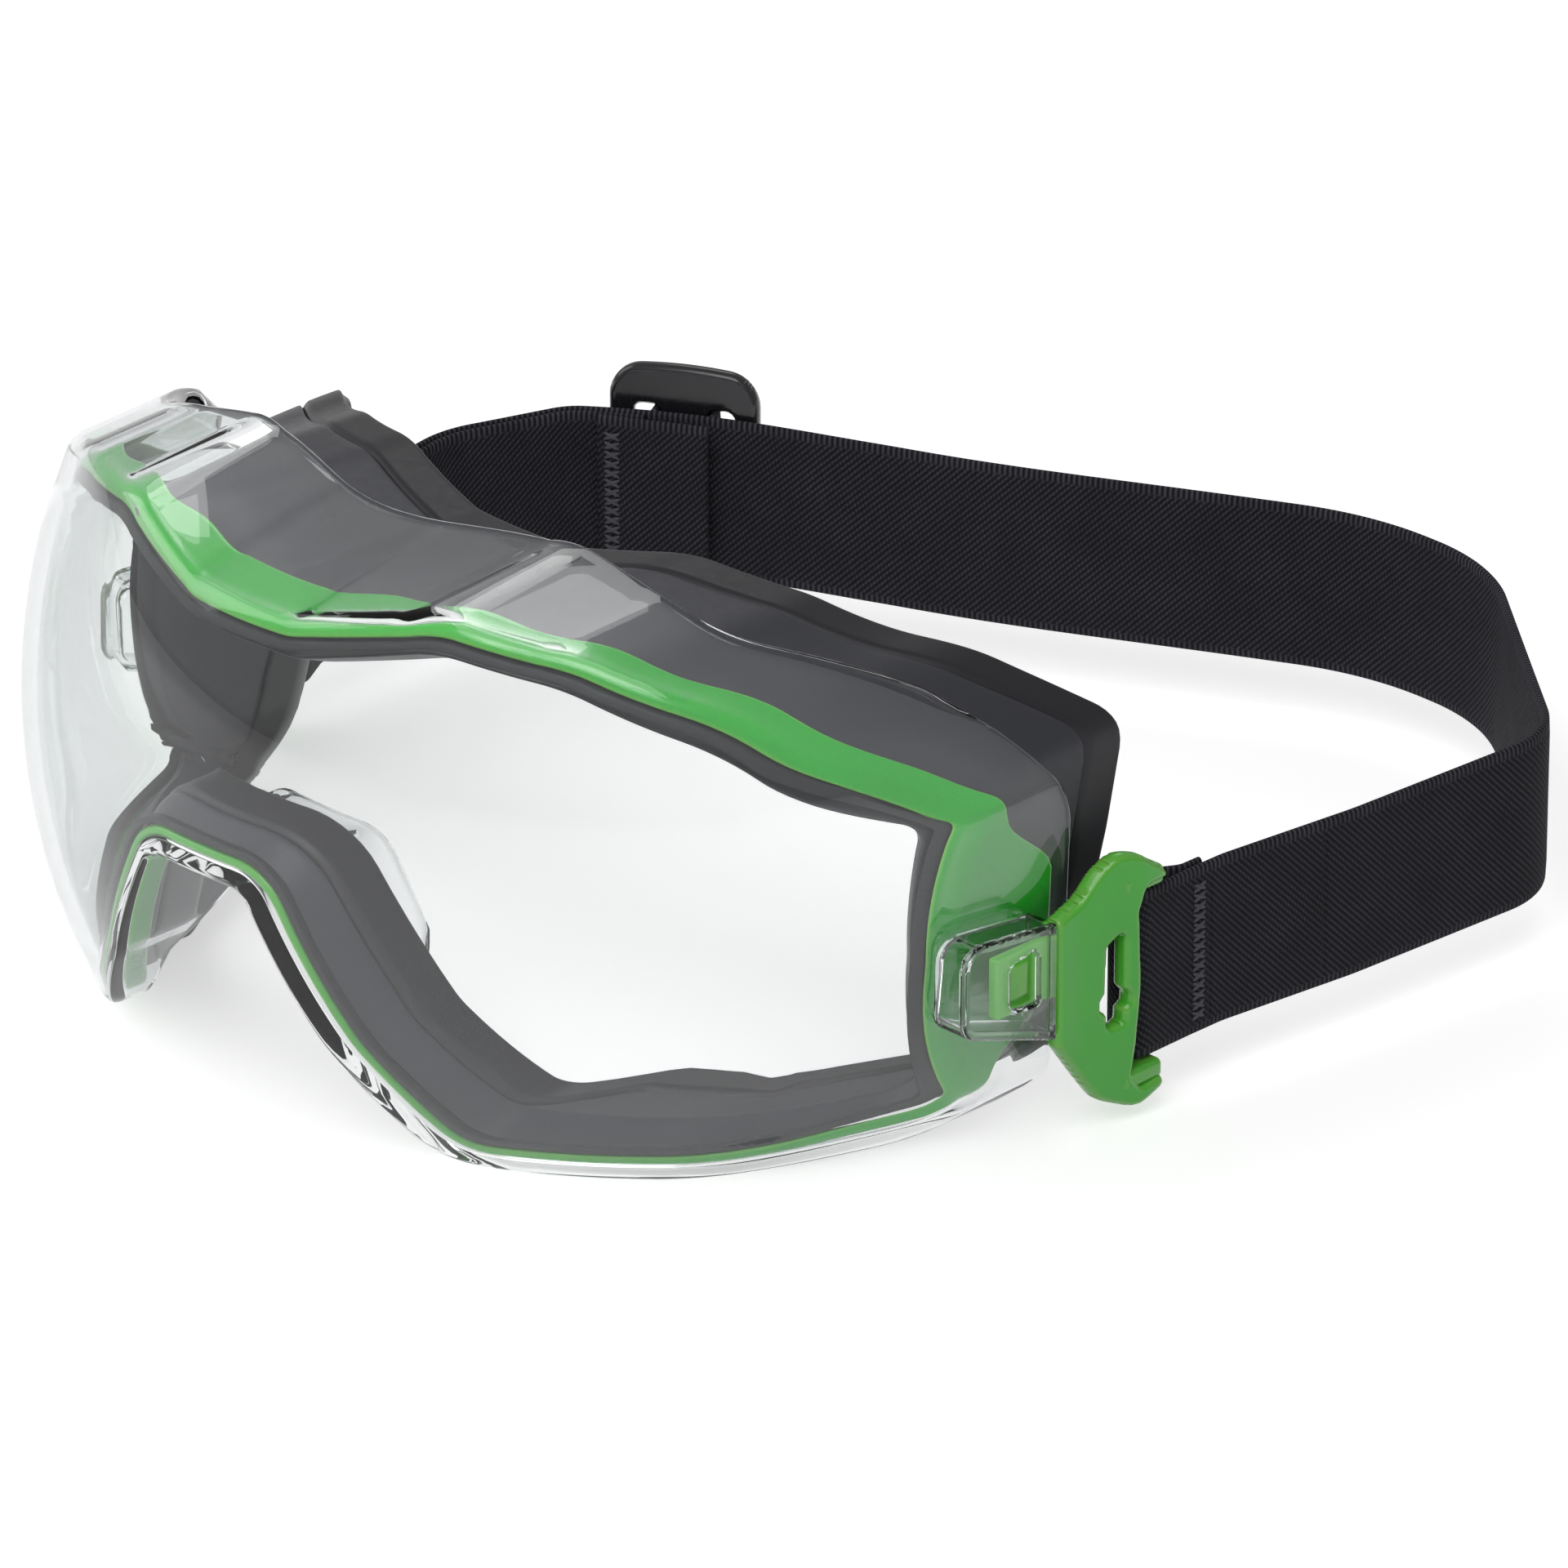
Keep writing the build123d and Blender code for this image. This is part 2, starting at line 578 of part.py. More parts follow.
def clip():
    """The left clip: bent plate with a keyhole slot, tongue and latch, two arms and the strap bar."""
    front = POCKET_BACK + CLIP_SEAT
    tongue_front = POCKET_BACK - TONGUE_DEEP
    tongue_long = front + TONGUE_ROOT - tongue_front
    tongue = Pos(pocket_x(), tongue_front + tongue_long / 2, tongue_height())
    tongue = tongue * Box(TONGUE_THICK, tongue_long, TONGUE_TALL)
    latch = Pos(pocket_x() + TONGUE_THICK / 2, POCKET_BACK - WINDOW_BACK, tongue_height())
    latch = latch * Box(1.6 * TONGUE_GAP, LATCH_LONG, TONGUE_TALL - 4.0)
    piece = clip_plate() + tongue + latch
    arm_low = WEB_WIDTH / 2 + SLOT_GAP
    arm_out = plate_middle() + CLIP_FLARE + 0.3 * CLIP_THICK
    arm_in = bar_x() - BAR_RADIUS - ARM_EDGE
    arm_back = BAR_BACK + BAR_RADIUS + ARM_EDGE
    for way in (-1, 1):
        z = STRAP_HEIGHT + way * (arm_low + ARM_THICK / 2)
        arm = Pos((arm_in + arm_out) / 2, arm_back - ARM_LONG / 2, z)
        arm = arm * Box(arm_out - arm_in, ARM_LONG, ARM_THICK)
        piece = piece + fillet(arm.edges().filter_by(Axis.Z), 1.2)
    bar = Cylinder(BAR_RADIUS, 2 * arm_low + 1.0)
    piece = piece + Pos(bar_x(), BAR_BACK, STRAP_HEIGHT) * bar
    return piece - keyhole()


def keyhole():
    """Slot in the clip's plate: a long upper part, a round middle and a short lower part."""
    through = 4 * CLIP_THICK + 2 * CLIP_FLARE
    upper = Pos(0, 0, KEY_UP / 2) * Box(through, KEY_WIDE, KEY_UP)
    upper = fillet(upper.edges().filter_by(Axis.X), 1.0)
    middle = Pos(0, 0, -0.3 * KEY_ROUND) * Rot(0, 90, 0) * Cylinder(KEY_ROUND, through)
    lower = Pos(0, 0, -KEY_DOWN / 2) * Box(through, 0.75 * KEY_WIDE, KEY_DOWN)
    return Pos(plate_middle() + CLIP_FLARE, KEY_BACK, STRAP_HEIGHT) * (upper + middle + lower)


# ---------------------------------------------------------------- the whole object
def mirrored(piece):
    return mirror(piece, about=Plane.YZ)


def pieces():
    """Every node's name and its solids, in the working frame."""
    paths = strap_paths()
    loop = loop_path()
    right_turn = [(-x, y, r) for x, y, r in loop]
    left_clip = clip()
    inner = layer_step()
    right_flex = [webbing(paths["right_flex"]), webbing(paths["right_flex"], inner)]
    found = {
        "lens": lens(),
        "lens_gasket": lens_gasket(),
        "frame": frame(),
        "face_skirt": face_skirt(),
        "face_seal": face_seal(),
        "clip_left": left_clip,
        "clip_right": mirrored(left_clip),
        "webbing_left_loop": webbing(loop),
        "webbing_right_turn": webbing(right_turn),
        "webbing_right_inner": webbing(paths["right_inner"], inner),
        "webbing_right_flex": Compound(right_flex),
        "stitching_left_loop": left_stitching(),
        "slider": slider(),
        "webbing_slider_wrap": slider_wrap(),
        "webbing_slider_tail": slider_tail(),
        "stitching_slider": slider_stitching(),
    }
    for name in ("left_flex", "left_side", "rear_bend", "back", "right_outer"):
        found["webbing_" + name] = webbing(paths[name])
    return found


def main():
    os.makedirs("parts", exist_ok=True)
    found = pieces()
    boxes = [piece.bounding_box() for piece in found.values()]
    middle_y = (min(b.min.Y for b in boxes) + max(b.max.Y for b in boxes)) / 2
    floor = min(b.min.Z for b in boxes)
    to_base = Pos(0, -middle_y, -floor)
    for name, piece in found.items():
        export_step(to_base * piece, os.path.join("parts", name + ".step"))
    x, y = on_run(0.0)
    way = slider_run()[2]
    width = [min(b.min.X for b in boxes), max(b.max.X for b in boxes)]
    print(f"origin moved by 0 {-middle_y:.4f} {-floor:.4f}, sides at {width[0]:.2f} {width[1]:.2f}")
    print(f"tilt axis at y {flex_end() - FLEX_LENGTH / 2 - middle_y:.4f} z {STRAP_HEIGHT - floor:.4f}")
    print(f"slider at {x:.4f} {y - middle_y:.4f}, runs along {way[0]:.5f} {way[1]:.5f}")


if __name__ == "__main__":
    main()
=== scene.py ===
import math

import bmesh
import bpy
import numpy as np
from bpy.props import FloatProperty, FloatVectorProperty, IntProperty, PointerProperty
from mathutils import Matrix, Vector


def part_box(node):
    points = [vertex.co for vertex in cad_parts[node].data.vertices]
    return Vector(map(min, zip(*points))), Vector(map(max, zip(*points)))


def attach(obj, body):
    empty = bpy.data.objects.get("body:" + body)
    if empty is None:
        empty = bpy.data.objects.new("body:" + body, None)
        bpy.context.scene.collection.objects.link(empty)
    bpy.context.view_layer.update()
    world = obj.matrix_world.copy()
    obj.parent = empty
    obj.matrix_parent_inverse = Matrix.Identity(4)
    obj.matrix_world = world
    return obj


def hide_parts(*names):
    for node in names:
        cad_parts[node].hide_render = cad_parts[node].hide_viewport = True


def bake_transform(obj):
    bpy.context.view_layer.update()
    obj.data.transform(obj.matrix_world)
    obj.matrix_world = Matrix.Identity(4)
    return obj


bl_info = {
    "name": "Safety goggles",
    "version": (1, 0, 0),
    "blender": (4, 5, 0),
    "location": "3D View > Sidebar > Goggles",
    "description": "Builds wrap-round safety goggles on a packed frame, piece by piece",
    "category": "Add Mesh",
}

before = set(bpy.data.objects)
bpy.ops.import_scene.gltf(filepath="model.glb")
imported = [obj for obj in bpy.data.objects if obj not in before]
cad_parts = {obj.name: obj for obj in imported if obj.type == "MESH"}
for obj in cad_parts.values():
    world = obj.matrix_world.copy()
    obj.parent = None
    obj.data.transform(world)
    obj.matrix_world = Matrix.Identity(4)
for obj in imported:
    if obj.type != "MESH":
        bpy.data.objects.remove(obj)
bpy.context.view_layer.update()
MM = 0.001
GOGGLES, LEFT_CLIP, RIGHT_CLIP, STRAP, SLIDER = "goggles", "left_clip", "right_clip", "strap", "slider"


# ---------------------------------------------------------------- sizes and colours
def length(name, text, value):
    """A size in metres, shown in the scene's unit."""
    return FloatProperty(name=name, description=text, default=value * MM, min=0.0, unit="LENGTH", precision=5)


def colour(name, text, value):
    """A linear colour."""
    return FloatVectorProperty(
        name=name, description=text, default=value, size=3, subtype="COLOR", min=0, max=1)


class GOGGLES_PG_shell(bpy.types.PropertyGroup):
    """Sizes of the lens and of what is nested inside it."""

    radius: length("Lens radius", "Radius of the lens's outer sphere", 88.0)
    half_width: length("Half width", "Mid-plane to the outside of the side rim", 82.5)
    brow: length("Brow height", "Top of the two brows above the floor", 78.3)
    wall: length("Lens wall", "Thickness of the clear lens", 2.2)
    fit: length("Fit", "Clearance between nested pieces", 0.3)
    rail: length("Rail wall", "Thickness of the coloured rail", 1.6)
    rail_depth: length("Rail depth", "Least depth of the coloured rail behind the lens", 4.6)
    skirt: length("Skirt wall", "Thickness of the soft skirt", 2.4)
    seal: length("Seal wall", "Thickness of the face seal", 4.0)
    seal_width: length("Seal width", "Front to back of the face seal", 8.0)


class GOGGLES_PG_strap(bpy.types.PropertyGroup):
    """Sizes of the webbing, its clips and its slider."""

    width: length("Width", "Width of the elastic webbing", 25.0)
    thick: length("Thickness", "Thickness of the elastic webbing", 1.3)
    height: length("Height", "Mid-height of the webbing above the floor", 20.5)
    clip: length("Clip plate", "Thickness of the strap clips' plates", 3.0)
    slider_long: length("Slider length", "Slider's length along the webbing", 22.5)
    slider_tall: length("Slider height", "Slider's height", 37.0)
    slider_thick: length("Slider thickness", "Thickness of the slider", 2.4)
    stitches: IntProperty(name="Stitches", description="Stitches in each bar tack", default=14, min=2, max=40)


class GOGGLES_PG_finish(bpy.types.PropertyGroup):
    """Colours of the goggles' materials."""

    clear: colour("Clear lens", "Tint of the clear lens", (0.955, 0.965, 0.965))
    # Lens edge: a painted shade, the grey the clear lens is blended to where it is seen edge on.
    edge_shade: colour("Lens edge", "Tint of the clear lens seen edge on", (0.42, 0.47, 0.50))
    green: colour("Rail", "Colour of the glossy rail", (0.006, 0.35, 0.016))
    clip: colour("Clips", "Colour of the strap clips", (0.045, 0.47, 0.022))
    # Green bevels: the colour of the painted highlight on the rail's and clips' convex edges.
    highlight_green: colour("Green bevels", "Colour of the rail's and clips' paler edges", (0.17, 0.50, 0.07))
    grey: colour("Skirt", "Colour of the soft skirt", (0.044, 0.045, 0.055))
    black: colour("Seal", "Colour of the face seal", (0.024, 0.024, 0.028))
    web: colour("Webbing", "Colour of the webbing's yarn", (0.006, 0.006, 0.009))
    # Webbing ribs: a painted highlight, the paler colour given to the webbing's raised weave.
    rib: colour("Webbing ribs", "Colour of the raised ribs", (0.072, 0.072, 0.088))
    slider: colour("Slider", "Colour of the slider", (0.012, 0.012, 0.015))
    floor: colour("Floor", "Colour of the studio floor", (0.80, 0.80, 0.80))


def shell_sizes():
    """The scene's sizes of the lens and what is nested in it."""
    return bpy.context.scene.goggles_shell


def strap_sizes():
    """The scene's sizes of the webbing, clips and slider."""
    return bpy.context.scene.goggles_strap


def finish_colours():
    """The scene's colours."""
    return bpy.context.scene.goggles_finish


# ---------------------------------------------------------------- shared geometry, in millimetres
def datum():
    """The lens sphere's centre in plan: the middle of the lens's box, one radius behind its front."""
    low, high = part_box("lens")
    return np.array([(low.x + high.x) / 2, low.y + shell_sizes().radius, 0.0])


def rounded(points, arc=8, side=10, closed=True):
    """A polyline's corners rounded by tangent arcs: each arc swings from one side's direction to the
    other's about a centre on the corner's bisector, and straight samples join one arc to the next."""
    here, radius = points[:, :2], points[:, 2:3]
    to_before = np.roll(here, 1, 0) - here
    to_after = np.roll(here, -1, 0) - here
    if not closed:
        to_before[0], to_after[-1] = -to_after[0], -to_before[-1]
    before = to_before / np.linalg.norm(to_before, axis=1, keepdims=True)
    after = to_after / np.linalg.norm(to_after, axis=1, keepdims=True)
    turn = np.pi - np.arccos(np.clip((before * after).sum(1, keepdims=True), -1, 1))
    turn = np.maximum(turn, 1e-5)
    tangent = radius * np.tan(turn / 2)
    start, end = here + before * tangent, here + after * tangent
    inward = before + after
    inward = inward / np.maximum(np.linalg.norm(inward, axis=1, keepdims=True), 1e-9)
    centre = here + inward * radius / np.cos(turn / 2)
    t = np.linspace(0, 1, arc)[None, :, None]
    angle = turn[:, :, None]
    swing = np.sin((1 - t) * angle) * (start - centre)[:, None]
    swing = swing + np.sin(t * angle) * (end - centre)[:, None]
    arcs = centre[:, None] + swing / np.sin(angle)
    flat = (radius[:, :, None] < 1e-6) | (angle < 1e-4)
    arcs = np.where(flat, start[:, None] * (1 - t) + end[:, None] * t, arcs)
    u = np.linspace(0, 1, side + 2)[1:-1][None, :, None]
    sides = end[:, None] * (1 - u) + np.roll(start, -1, 0)[:, None] * u
    every = np.concatenate([arcs, sides], 1)
    line = every.reshape(-1, 2)
    if not closed:
        line = line[: len(line) - side]
        keep = np.r_[True, np.linalg.norm(np.diff(line, axis=0), axis=1) > 1e-6]
        line = line[keep]
    return line


def to_the_right(run):
    """Unit vectors a quarter turn to the right of plane vectors: (x, y) becomes (y, -x) over its length."""
    return np.stack([run[:, 1], -run[:, 0]], 1) / np.linalg.norm(run, axis=1, keepdims=True)


def inset(points, distance):
    """Every side of a closed outline moved inwards by a distance; corner radii shrink or grow with it."""
    here = points[:, :2]
    a = here - np.roll(here, 1, 0)
    b = np.roll(here, -1, 0) - here
    na, nb = to_the_right(a), to_the_right(b)
    spread = 1 + (na * nb).sum(1, keepdims=True)
    turns_right = (a[:, 0] * b[:, 1] - a[:, 1] * b[:, 0]) < 0
    radius = np.maximum(points[:, 2] + np.where(turns_right, -distance, distance), 1.0)
    return np.column_stack([here + distance * (na + nb) / spread, radius])


def both_halves(half):
    """A half outline and its mirror image as one closed loop."""
    return np.concatenate([half, (half * [-1, 1, 1])[::-1]])


class Body:
    """The goggles' driving lines in millimetres: outlines, depths and the walls between them."""

    def __init__(self):
        s = shell_sizes()
        self.r, self.w, self.brow = s.radius / MM, s.half_width / MM, s.brow / MM
        self.wall, self.fit, self.rail = s.wall / MM, s.fit / MM, s.rail / MM
        self.mid = 0.473 * self.brow
        self.temple = 0.64 * self.brow
        self.front, self.back = -(self.r + 4), 40.0
        self.side_back = -4.0  # rear end of the side rim
        self.nest = self.wall + self.fit + self.rail + self.fit  # what the skirt is nested in
        self.gasket = 1.3  # gasket, front to back
        self.face_depth = 57.0 - self.r  # the wearer's face, at the middle
        self.pocket_x = self.w + 1.2 + 0.6 + 1.8 + 0.6  # middle of the pocket's plate

    def outline(self, rise):
        """The front outline's corners, with the roof's lift at so many millimetres behind the front."""
        w, b = self.w, self.brow
        half = np.array([
            (0.11 * w, b - 5.3 + 0.18 * rise, 9),
            (0.35 * w, b + 0.08 * rise, 22),
            (0.57 * w, b - 2.3 + 0.05 * rise, 32),
            (0.80 * w, 0.62 * b + 0.38 * self.temple + 0.05 * rise, 32),
            (w + 1, self.temple + 0.02 * rise, 6),
            (w, self.mid - 7, 60), (w - 3, 4, 7), (0.73 * w, 0, 40),
            (0.4 * w, 0, 10), (0.4 * w - 12, 16, 24), (9.5, self.mid, 5)])
        return both_halves(half)

    def face(self, cheek):
        """The same corners where the skirt meets the face."""
        w, b = self.w, self.brow - 8.3
        half = np.array([
            (0.11 * w, b - 0.5, 12), (0.32 * w, b + 1, 25), (0.51 * w, b - 2.5, 30), (0.73 * w, b - 9, 25),
            (w - 7, self.temple - 1, 10), (w - 7, self.mid - 7, 60),
            (w - 8, cheek + 1, 9), (0.68 * w, cheek, 30),
            (0.4 * w + 4, cheek, 12), (0.4 * w - 9, 19, 20), (11.5, self.mid + 5, 7)])
        return both_halves(half)

    def rim(self, distance):
        """The rim's wall, a distance in from its outside: two matching loops and their depths."""
        near = rounded(inset(self.outline(0), distance))
        far = rounded(inset(self.outline(self.back - self.front), distance))
        return near, far, self.front, self.back

    def skirt(self, distance):
        """The skirt's wall, a distance in from its outside."""
        near = rounded(inset(self.outline(0), self.nest + distance))
        far = rounded(inset(self.face(self.nest), 0.8 + distance))
        return near, far, self.front + 6, self.back


def on_wall(wall, y):
    """Points of a ruled wall at given depths: the front loop plus its share of the way to the back loop."""
    near, far, y0, y1 = wall
    share = ((y - y0) / (y1 - y0))[..., None]
    xz = near + (far - near) * share
    return np.stack([xz[..., 0], np.broadcast_to(y, xz.shape[:-1]), xz[..., 1]], -1)


def solve(wall, rule, guess=-50.0):
    """The depth at which each line of a wall meets a surface y = rule(x, z), by repeated substitution."""
    y = np.full(len(wall[0]), guess)
    for _ in range(12):
        p = on_wall(wall, y)
        y = rule(p[:, 0], p[:, 2])
    return y


def sphere(body, radius):
    """y = -sqrt(radius squared - x squared - (z - mid) squared)."""
    return lambda x, z: -np.sqrt(np.maximum(radius**2 - x**2 - (z - body.mid) ** 2, 1.0))


def smooth_step(share):
    """3 s squared - 2 s cubed: from 0 to 1 with level ends."""
    return share * share * (3 - 2 * share)


def set_back(body, radius, hang, limit):
    """The lens's sphere, but hanging back at the sides, where the rim turns its side to the front, and never
    further back than a limit."""
    ball = sphere(body, radius)

    def rule(x, z):
        share = np.clip((np.abs(x) - 0.80 * body.w) / (0.13 * body.w), 0, 1)
        return np.minimum(ball(x, z) + hang * smooth_step(share), limit)

    return rule


def smooth_min(a, b, soft):
    """The lesser of two depths, blended over a stretch of so many millimetres."""
    h = np.clip(0.5 + (b - a) / (2 * soft), 0, 1)
    return b + (a - b) * h - soft * h * (1 - h)


def rear_edge(body, back):
    """The rim's rear edge: an upright cylinder's curve at the top and bottom, less deep low down, and an
    upright line at the side that leans forwards above the temple."""
    radius = 0.97 * body.w

    def rule(x, z):
        depth = 26.0 - 11.0 * np.clip((26.0 - z) / 14.0, 0, 1)
        curve = depth - body.r + radius - np.sqrt(np.maximum(radius**2 - x**2, 0.0))
        roof = 37.0 - body.r + 8.0 * (1 - np.exp(-((x / 22) ** 2)))
        share = np.clip((z - body.temple) / 12, 0, 1)
        curve = curve + share * (-smooth_min(-curve, -roof, 6.0) - curve)
        lean = np.clip((z - body.temple + 5) / 16, 0, 1.2)
        side = back - 10.0 * lean**1.6
        return smooth_min(curve + (back + 4), side, 3.0)

    return rule


def face_rule(body, depth):
    """The wearer's face: a cylinder that leans back and comes forwards low down in the middle, joined
    softly to the upright curve of nose and cheeks, which ends a little above the nose bridge."""
    radius, tilt, muzzle, proud = body.w + 4.5, math.radians(16), 46.0, 41.0

    def rule(x, z):
        across = np.sqrt(np.maximum(radius**2 - x**2, 1.0))
        brow = depth + radius + (-across + (z - body.mid) * math.sin(tilt)) / math.cos(tilt)
        reach = muzzle**2 - x**2
        middle = np.clip((0.88 * body.w - np.abs(x)) / (0.2 * body.w), 0, 1)
        brow = brow - 11.0 * np.clip((26.0 - z) / 24.0, 0, 1) * middle
        low = depth - proud + muzzle - np.sqrt(np.maximum(reach, 0.0)) + 0.05 * np.maximum(-reach, 0.0)
        low = low + 0.35 * np.maximum(z - body.mid - 10.0, 0.0) ** 2
        return smooth_min(brow, low, 5.0)

    return rule


def lobe(points, body, y_from, y_to, height):
    """Lift part of a skirt surface: a smooth swell, greatest near each temple, that grows to the rear."""
    x, y, z = points[..., 0], points[..., 1], points[..., 2]
    share = smooth_step(np.clip((y - y_from) / (y_to - y_from), 0, 1))
    near = np.exp(-(((np.abs(x) - 0.87 * body.w) / 12.5) ** 2)) * np.clip((z - body.mid) / 10, 0, 1)
    out = points.copy()
    out[..., 2] += height * share * near
    return out


def sleeve(outer, inner, front_out, rear_out, front_in, rear_in, radius, rows=10, arc=5):
    """A band between two walls with a rounded-rectangle section: a is the way across from outside to
    inside, d the way from front to rear, and quarter ellipses round the section's four corners."""
    count = len(outer[0])
    q = np.linspace(0, math.pi / 2, arc)[:, None]
    thick = np.linalg.norm(outer[0] - inner[0], axis=1)[None]
    ra = np.clip(radius / thick, 0.02, 0.5)
    rd_out = np.clip(radius / np.maximum(rear_out - front_out, 0.5), 0.02, 0.5)[None]
    rd_in = np.clip(radius / np.maximum(rear_in - front_in, 0.5), 0.02, 0.5)[None]
    s, c = 1 - np.sin(q), 1 - np.cos(q)
    run = np.linspace(0, 1, rows + 2)[1:-1][:, None]
    a = [ra * s, np.zeros((rows, count)), ra * c, 1 - ra * s, np.ones((rows, count)), 1 - ra * c]
    d_out = [rd_out * c, rd_out + run * (1 - 2 * rd_out), 1 - rd_out * s]
    d_in = [1 - rd_in * c, 1 - rd_in - run * (1 - 2 * rd_in), rd_in * s]
    a, d = np.concatenate(a), np.concatenate(d_out + d_in)
    from_out = on_wall(outer, front_out + (rear_out - front_out) * d)
    from_in = on_wall(inner, front_in + (rear_in - front_in) * d)
    return from_out + (from_in - from_out) * a[..., None]


def grid_faces(rows, cols, wrap_rows=True, wrap_cols=True):
    """Quads between neighbouring rows and columns of a grid."""
    i = np.arange(rows if wrap_rows else rows - 1)[:, None]
    j = np.arange(cols if wrap_cols else cols - 1)[None]
    i2, j2 = (i + 1) % rows, (j + 1) % cols
    quads = np.stack([i * cols + j, i * cols + j2, i2 * cols + j2, i2 * cols + j], -1)
    return quads.reshape(-1, 4)


def outward(points, faces):
    """Faces turned so that the enclosed volume, the sum of triple products, is positive."""
    a, b, c, d = (points[faces[:, k]] for k in range(4))
    volume = (a * np.cross(b, c)).sum() + (a * np.cross(c, d)).sum()
    return faces if volume > 0 else faces[:, ::-1]


def surface(grid, wrap_rows=True, wrap_cols=True):
    """A grid of points (rows, columns, 3) as vertices and outward quads."""
    rows, cols = grid.shape[:2]
    points = grid.reshape(-1, 3)
    return points, outward(points, grid_faces(rows, cols, wrap_rows, wrap_cols))


def mirrored(part):
    """A part reflected in the mid-plane, its faces turned back outwards."""
    points, faces = part[0] * [-1, 1, 1], part[1][:, ::-1]
    return (points, faces, *part[2:])


def make(name, parts, body, stands_for, material, crease=None, ride=True, merge=1e-4):
    """One mesh object from closed parts in millimetres, moved to the datum, with its UV map if it has one."""
    at = datum()
    counts = np.cumsum([0] + [len(p[0]) for p in parts])
    points = np.concatenate([p[0] for p in parts]) * MM + at
    faces = np.concatenate([p[1] + n for p, n in zip(parts, counts)])
    mesh = bpy.data.meshes.new(name)
    mesh.from_pydata(points.tolist(), [], faces.tolist())
    if len(parts[0]) > 2:
        uv = np.concatenate([p[2] for p in parts])
        layer = mesh.uv_layers.new(name="weave")
        loops = np.zeros(len(mesh.loops), np.int32)
        mesh.loops.foreach_get("vertex_index", loops)
        layer.data.foreach_set("uv", uv[loops].astype(np.float32).ravel())
    if merge:
        work = bmesh.new()
        work.from_mesh(mesh)
        bmesh.ops.remove_doubles(work, verts=work.verts, dist=merge * MM)
        bmesh.ops.dissolve_degenerate(work, edges=work.edges, dist=merge * MM * 0.1)
        work.to_mesh(mesh)
        work.free()
    mesh.shade_smooth()
    if crease is not None:
        mesh.set_sharp_from_angle(angle=math.radians(crease))
    piece = bpy.data.objects.new(name, mesh)
    bpy.context.scene.collection.objects.link(piece)
    piece.data.materials.append(material)
    if ride:
        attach(piece, body)
    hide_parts(*stands_for)
    return piece


# ---------------------------------------------------------------- plates with holes
def nearest(points, line):
    """Each point's nearest point on a closed polyline, and its distance."""
    a, b = line, np.roll(line, -1, 0)
    ab = b - a
    t = ((points[:, None] - a[None]) * ab[None]).sum(-1) / np.maximum((ab**2).sum(-1), 1e-12)
    foot = a[None] + np.clip(t, 0, 1)[..., None] * ab[None]
    gap = np.linalg.norm(points[:, None] - foot, axis=-1)
    best = gap.argmin(1)
    rows = np.arange(len(points))
    return foot[rows, best], gap[rows, best]


def inside(points, line):
    """True where a level ray to the right crosses a closed polyline an odd number of times."""
    a, b = line, np.roll(line, -1, 0)
    py = points[:, 1:2]
    spans = (a[None, :, 1] > py) != (b[None, :, 1] > py)
    with np.errstate(divide="ignore", invalid="ignore"):
        cross = a[:, 0] + (py - a[:, 1]) * (b[:, 0] - a[:, 0]) / (b[:, 1] - a[:, 1])
    return (spans & (points[:, :1] < cross)).sum(1) % 2 == 1


def plate(outer, holes, thick, radius, pitch, place):
    """A plate with holes and rounded edges. On a square grid of (p, q) the half thickness is
    t/2 - r + r sqrt(1 - (1 - min(e/r, 1)) squared), e being the distance from the nearest edge; grid points
    next to an edge are moved onto it, and a wall joins the two faces. place(p, q, h) gives the points."""
    low, high = outer.min(0) - pitch, outer.max(0) + pitch
    p = np.arange(low[0], high[0] + pitch, pitch)
    q = np.arange(low[1], high[1] + pitch, pitch)
    rows, cols = len(q), len(p)
    grid = np.stack(np.meshgrid(p, q), -1).reshape(-1, 2)
    within = inside(grid, outer)
    foot, gap = nearest(grid, outer)
    for hole in holes:
        within &= ~inside(grid, hole)
        hole_foot, hole_gap = nearest(grid, hole)
        closer = hole_gap < gap
        foot = np.where(closer[:, None], hole_foot, foot)
        gap = np.minimum(gap, hole_gap)
    on_edge = gap < 0.62 * pitch
    grid = np.where(on_edge[:, None], foot, grid)
    gap = np.where(on_edge, 0.0, gap)
    quads = grid_faces(rows, cols, False, False)
    keep = (within | on_edge)[quads].all(1) & ~on_edge[quads].all(1)
    quads = quads[keep]
    share = np.clip(gap / radius, 0, 1)
    half = thick / 2 - radius + radius * np.sqrt(1 - (1 - share) ** 2)
    top, under = place(grid[:, 0], grid[:, 1], half), place(grid[:, 0], grid[:, 1], -half)
    count = len(grid)
    edges = np.stack([quads, np.roll(quads, -1, 1)], -1).reshape(-1, 2)
    key = edges.min(1) * count + edges.max(1)
    _, first, times = np.unique(key, return_index=True, return_counts=True)
    rim = edges[first[times == 1]]
    walls = np.stack([rim[:, 1], rim[:, 0], rim[:, 0] + count, rim[:, 1] + count], 1)
    faces = np.concatenate([quads, quads[:, ::-1] + count, walls])
    points = np.concatenate([top, under])
    used, packed = np.unique(faces, return_inverse=True)
    points, faces = points[used], packed.reshape(-1, 4)
    return points, outward(points, faces)


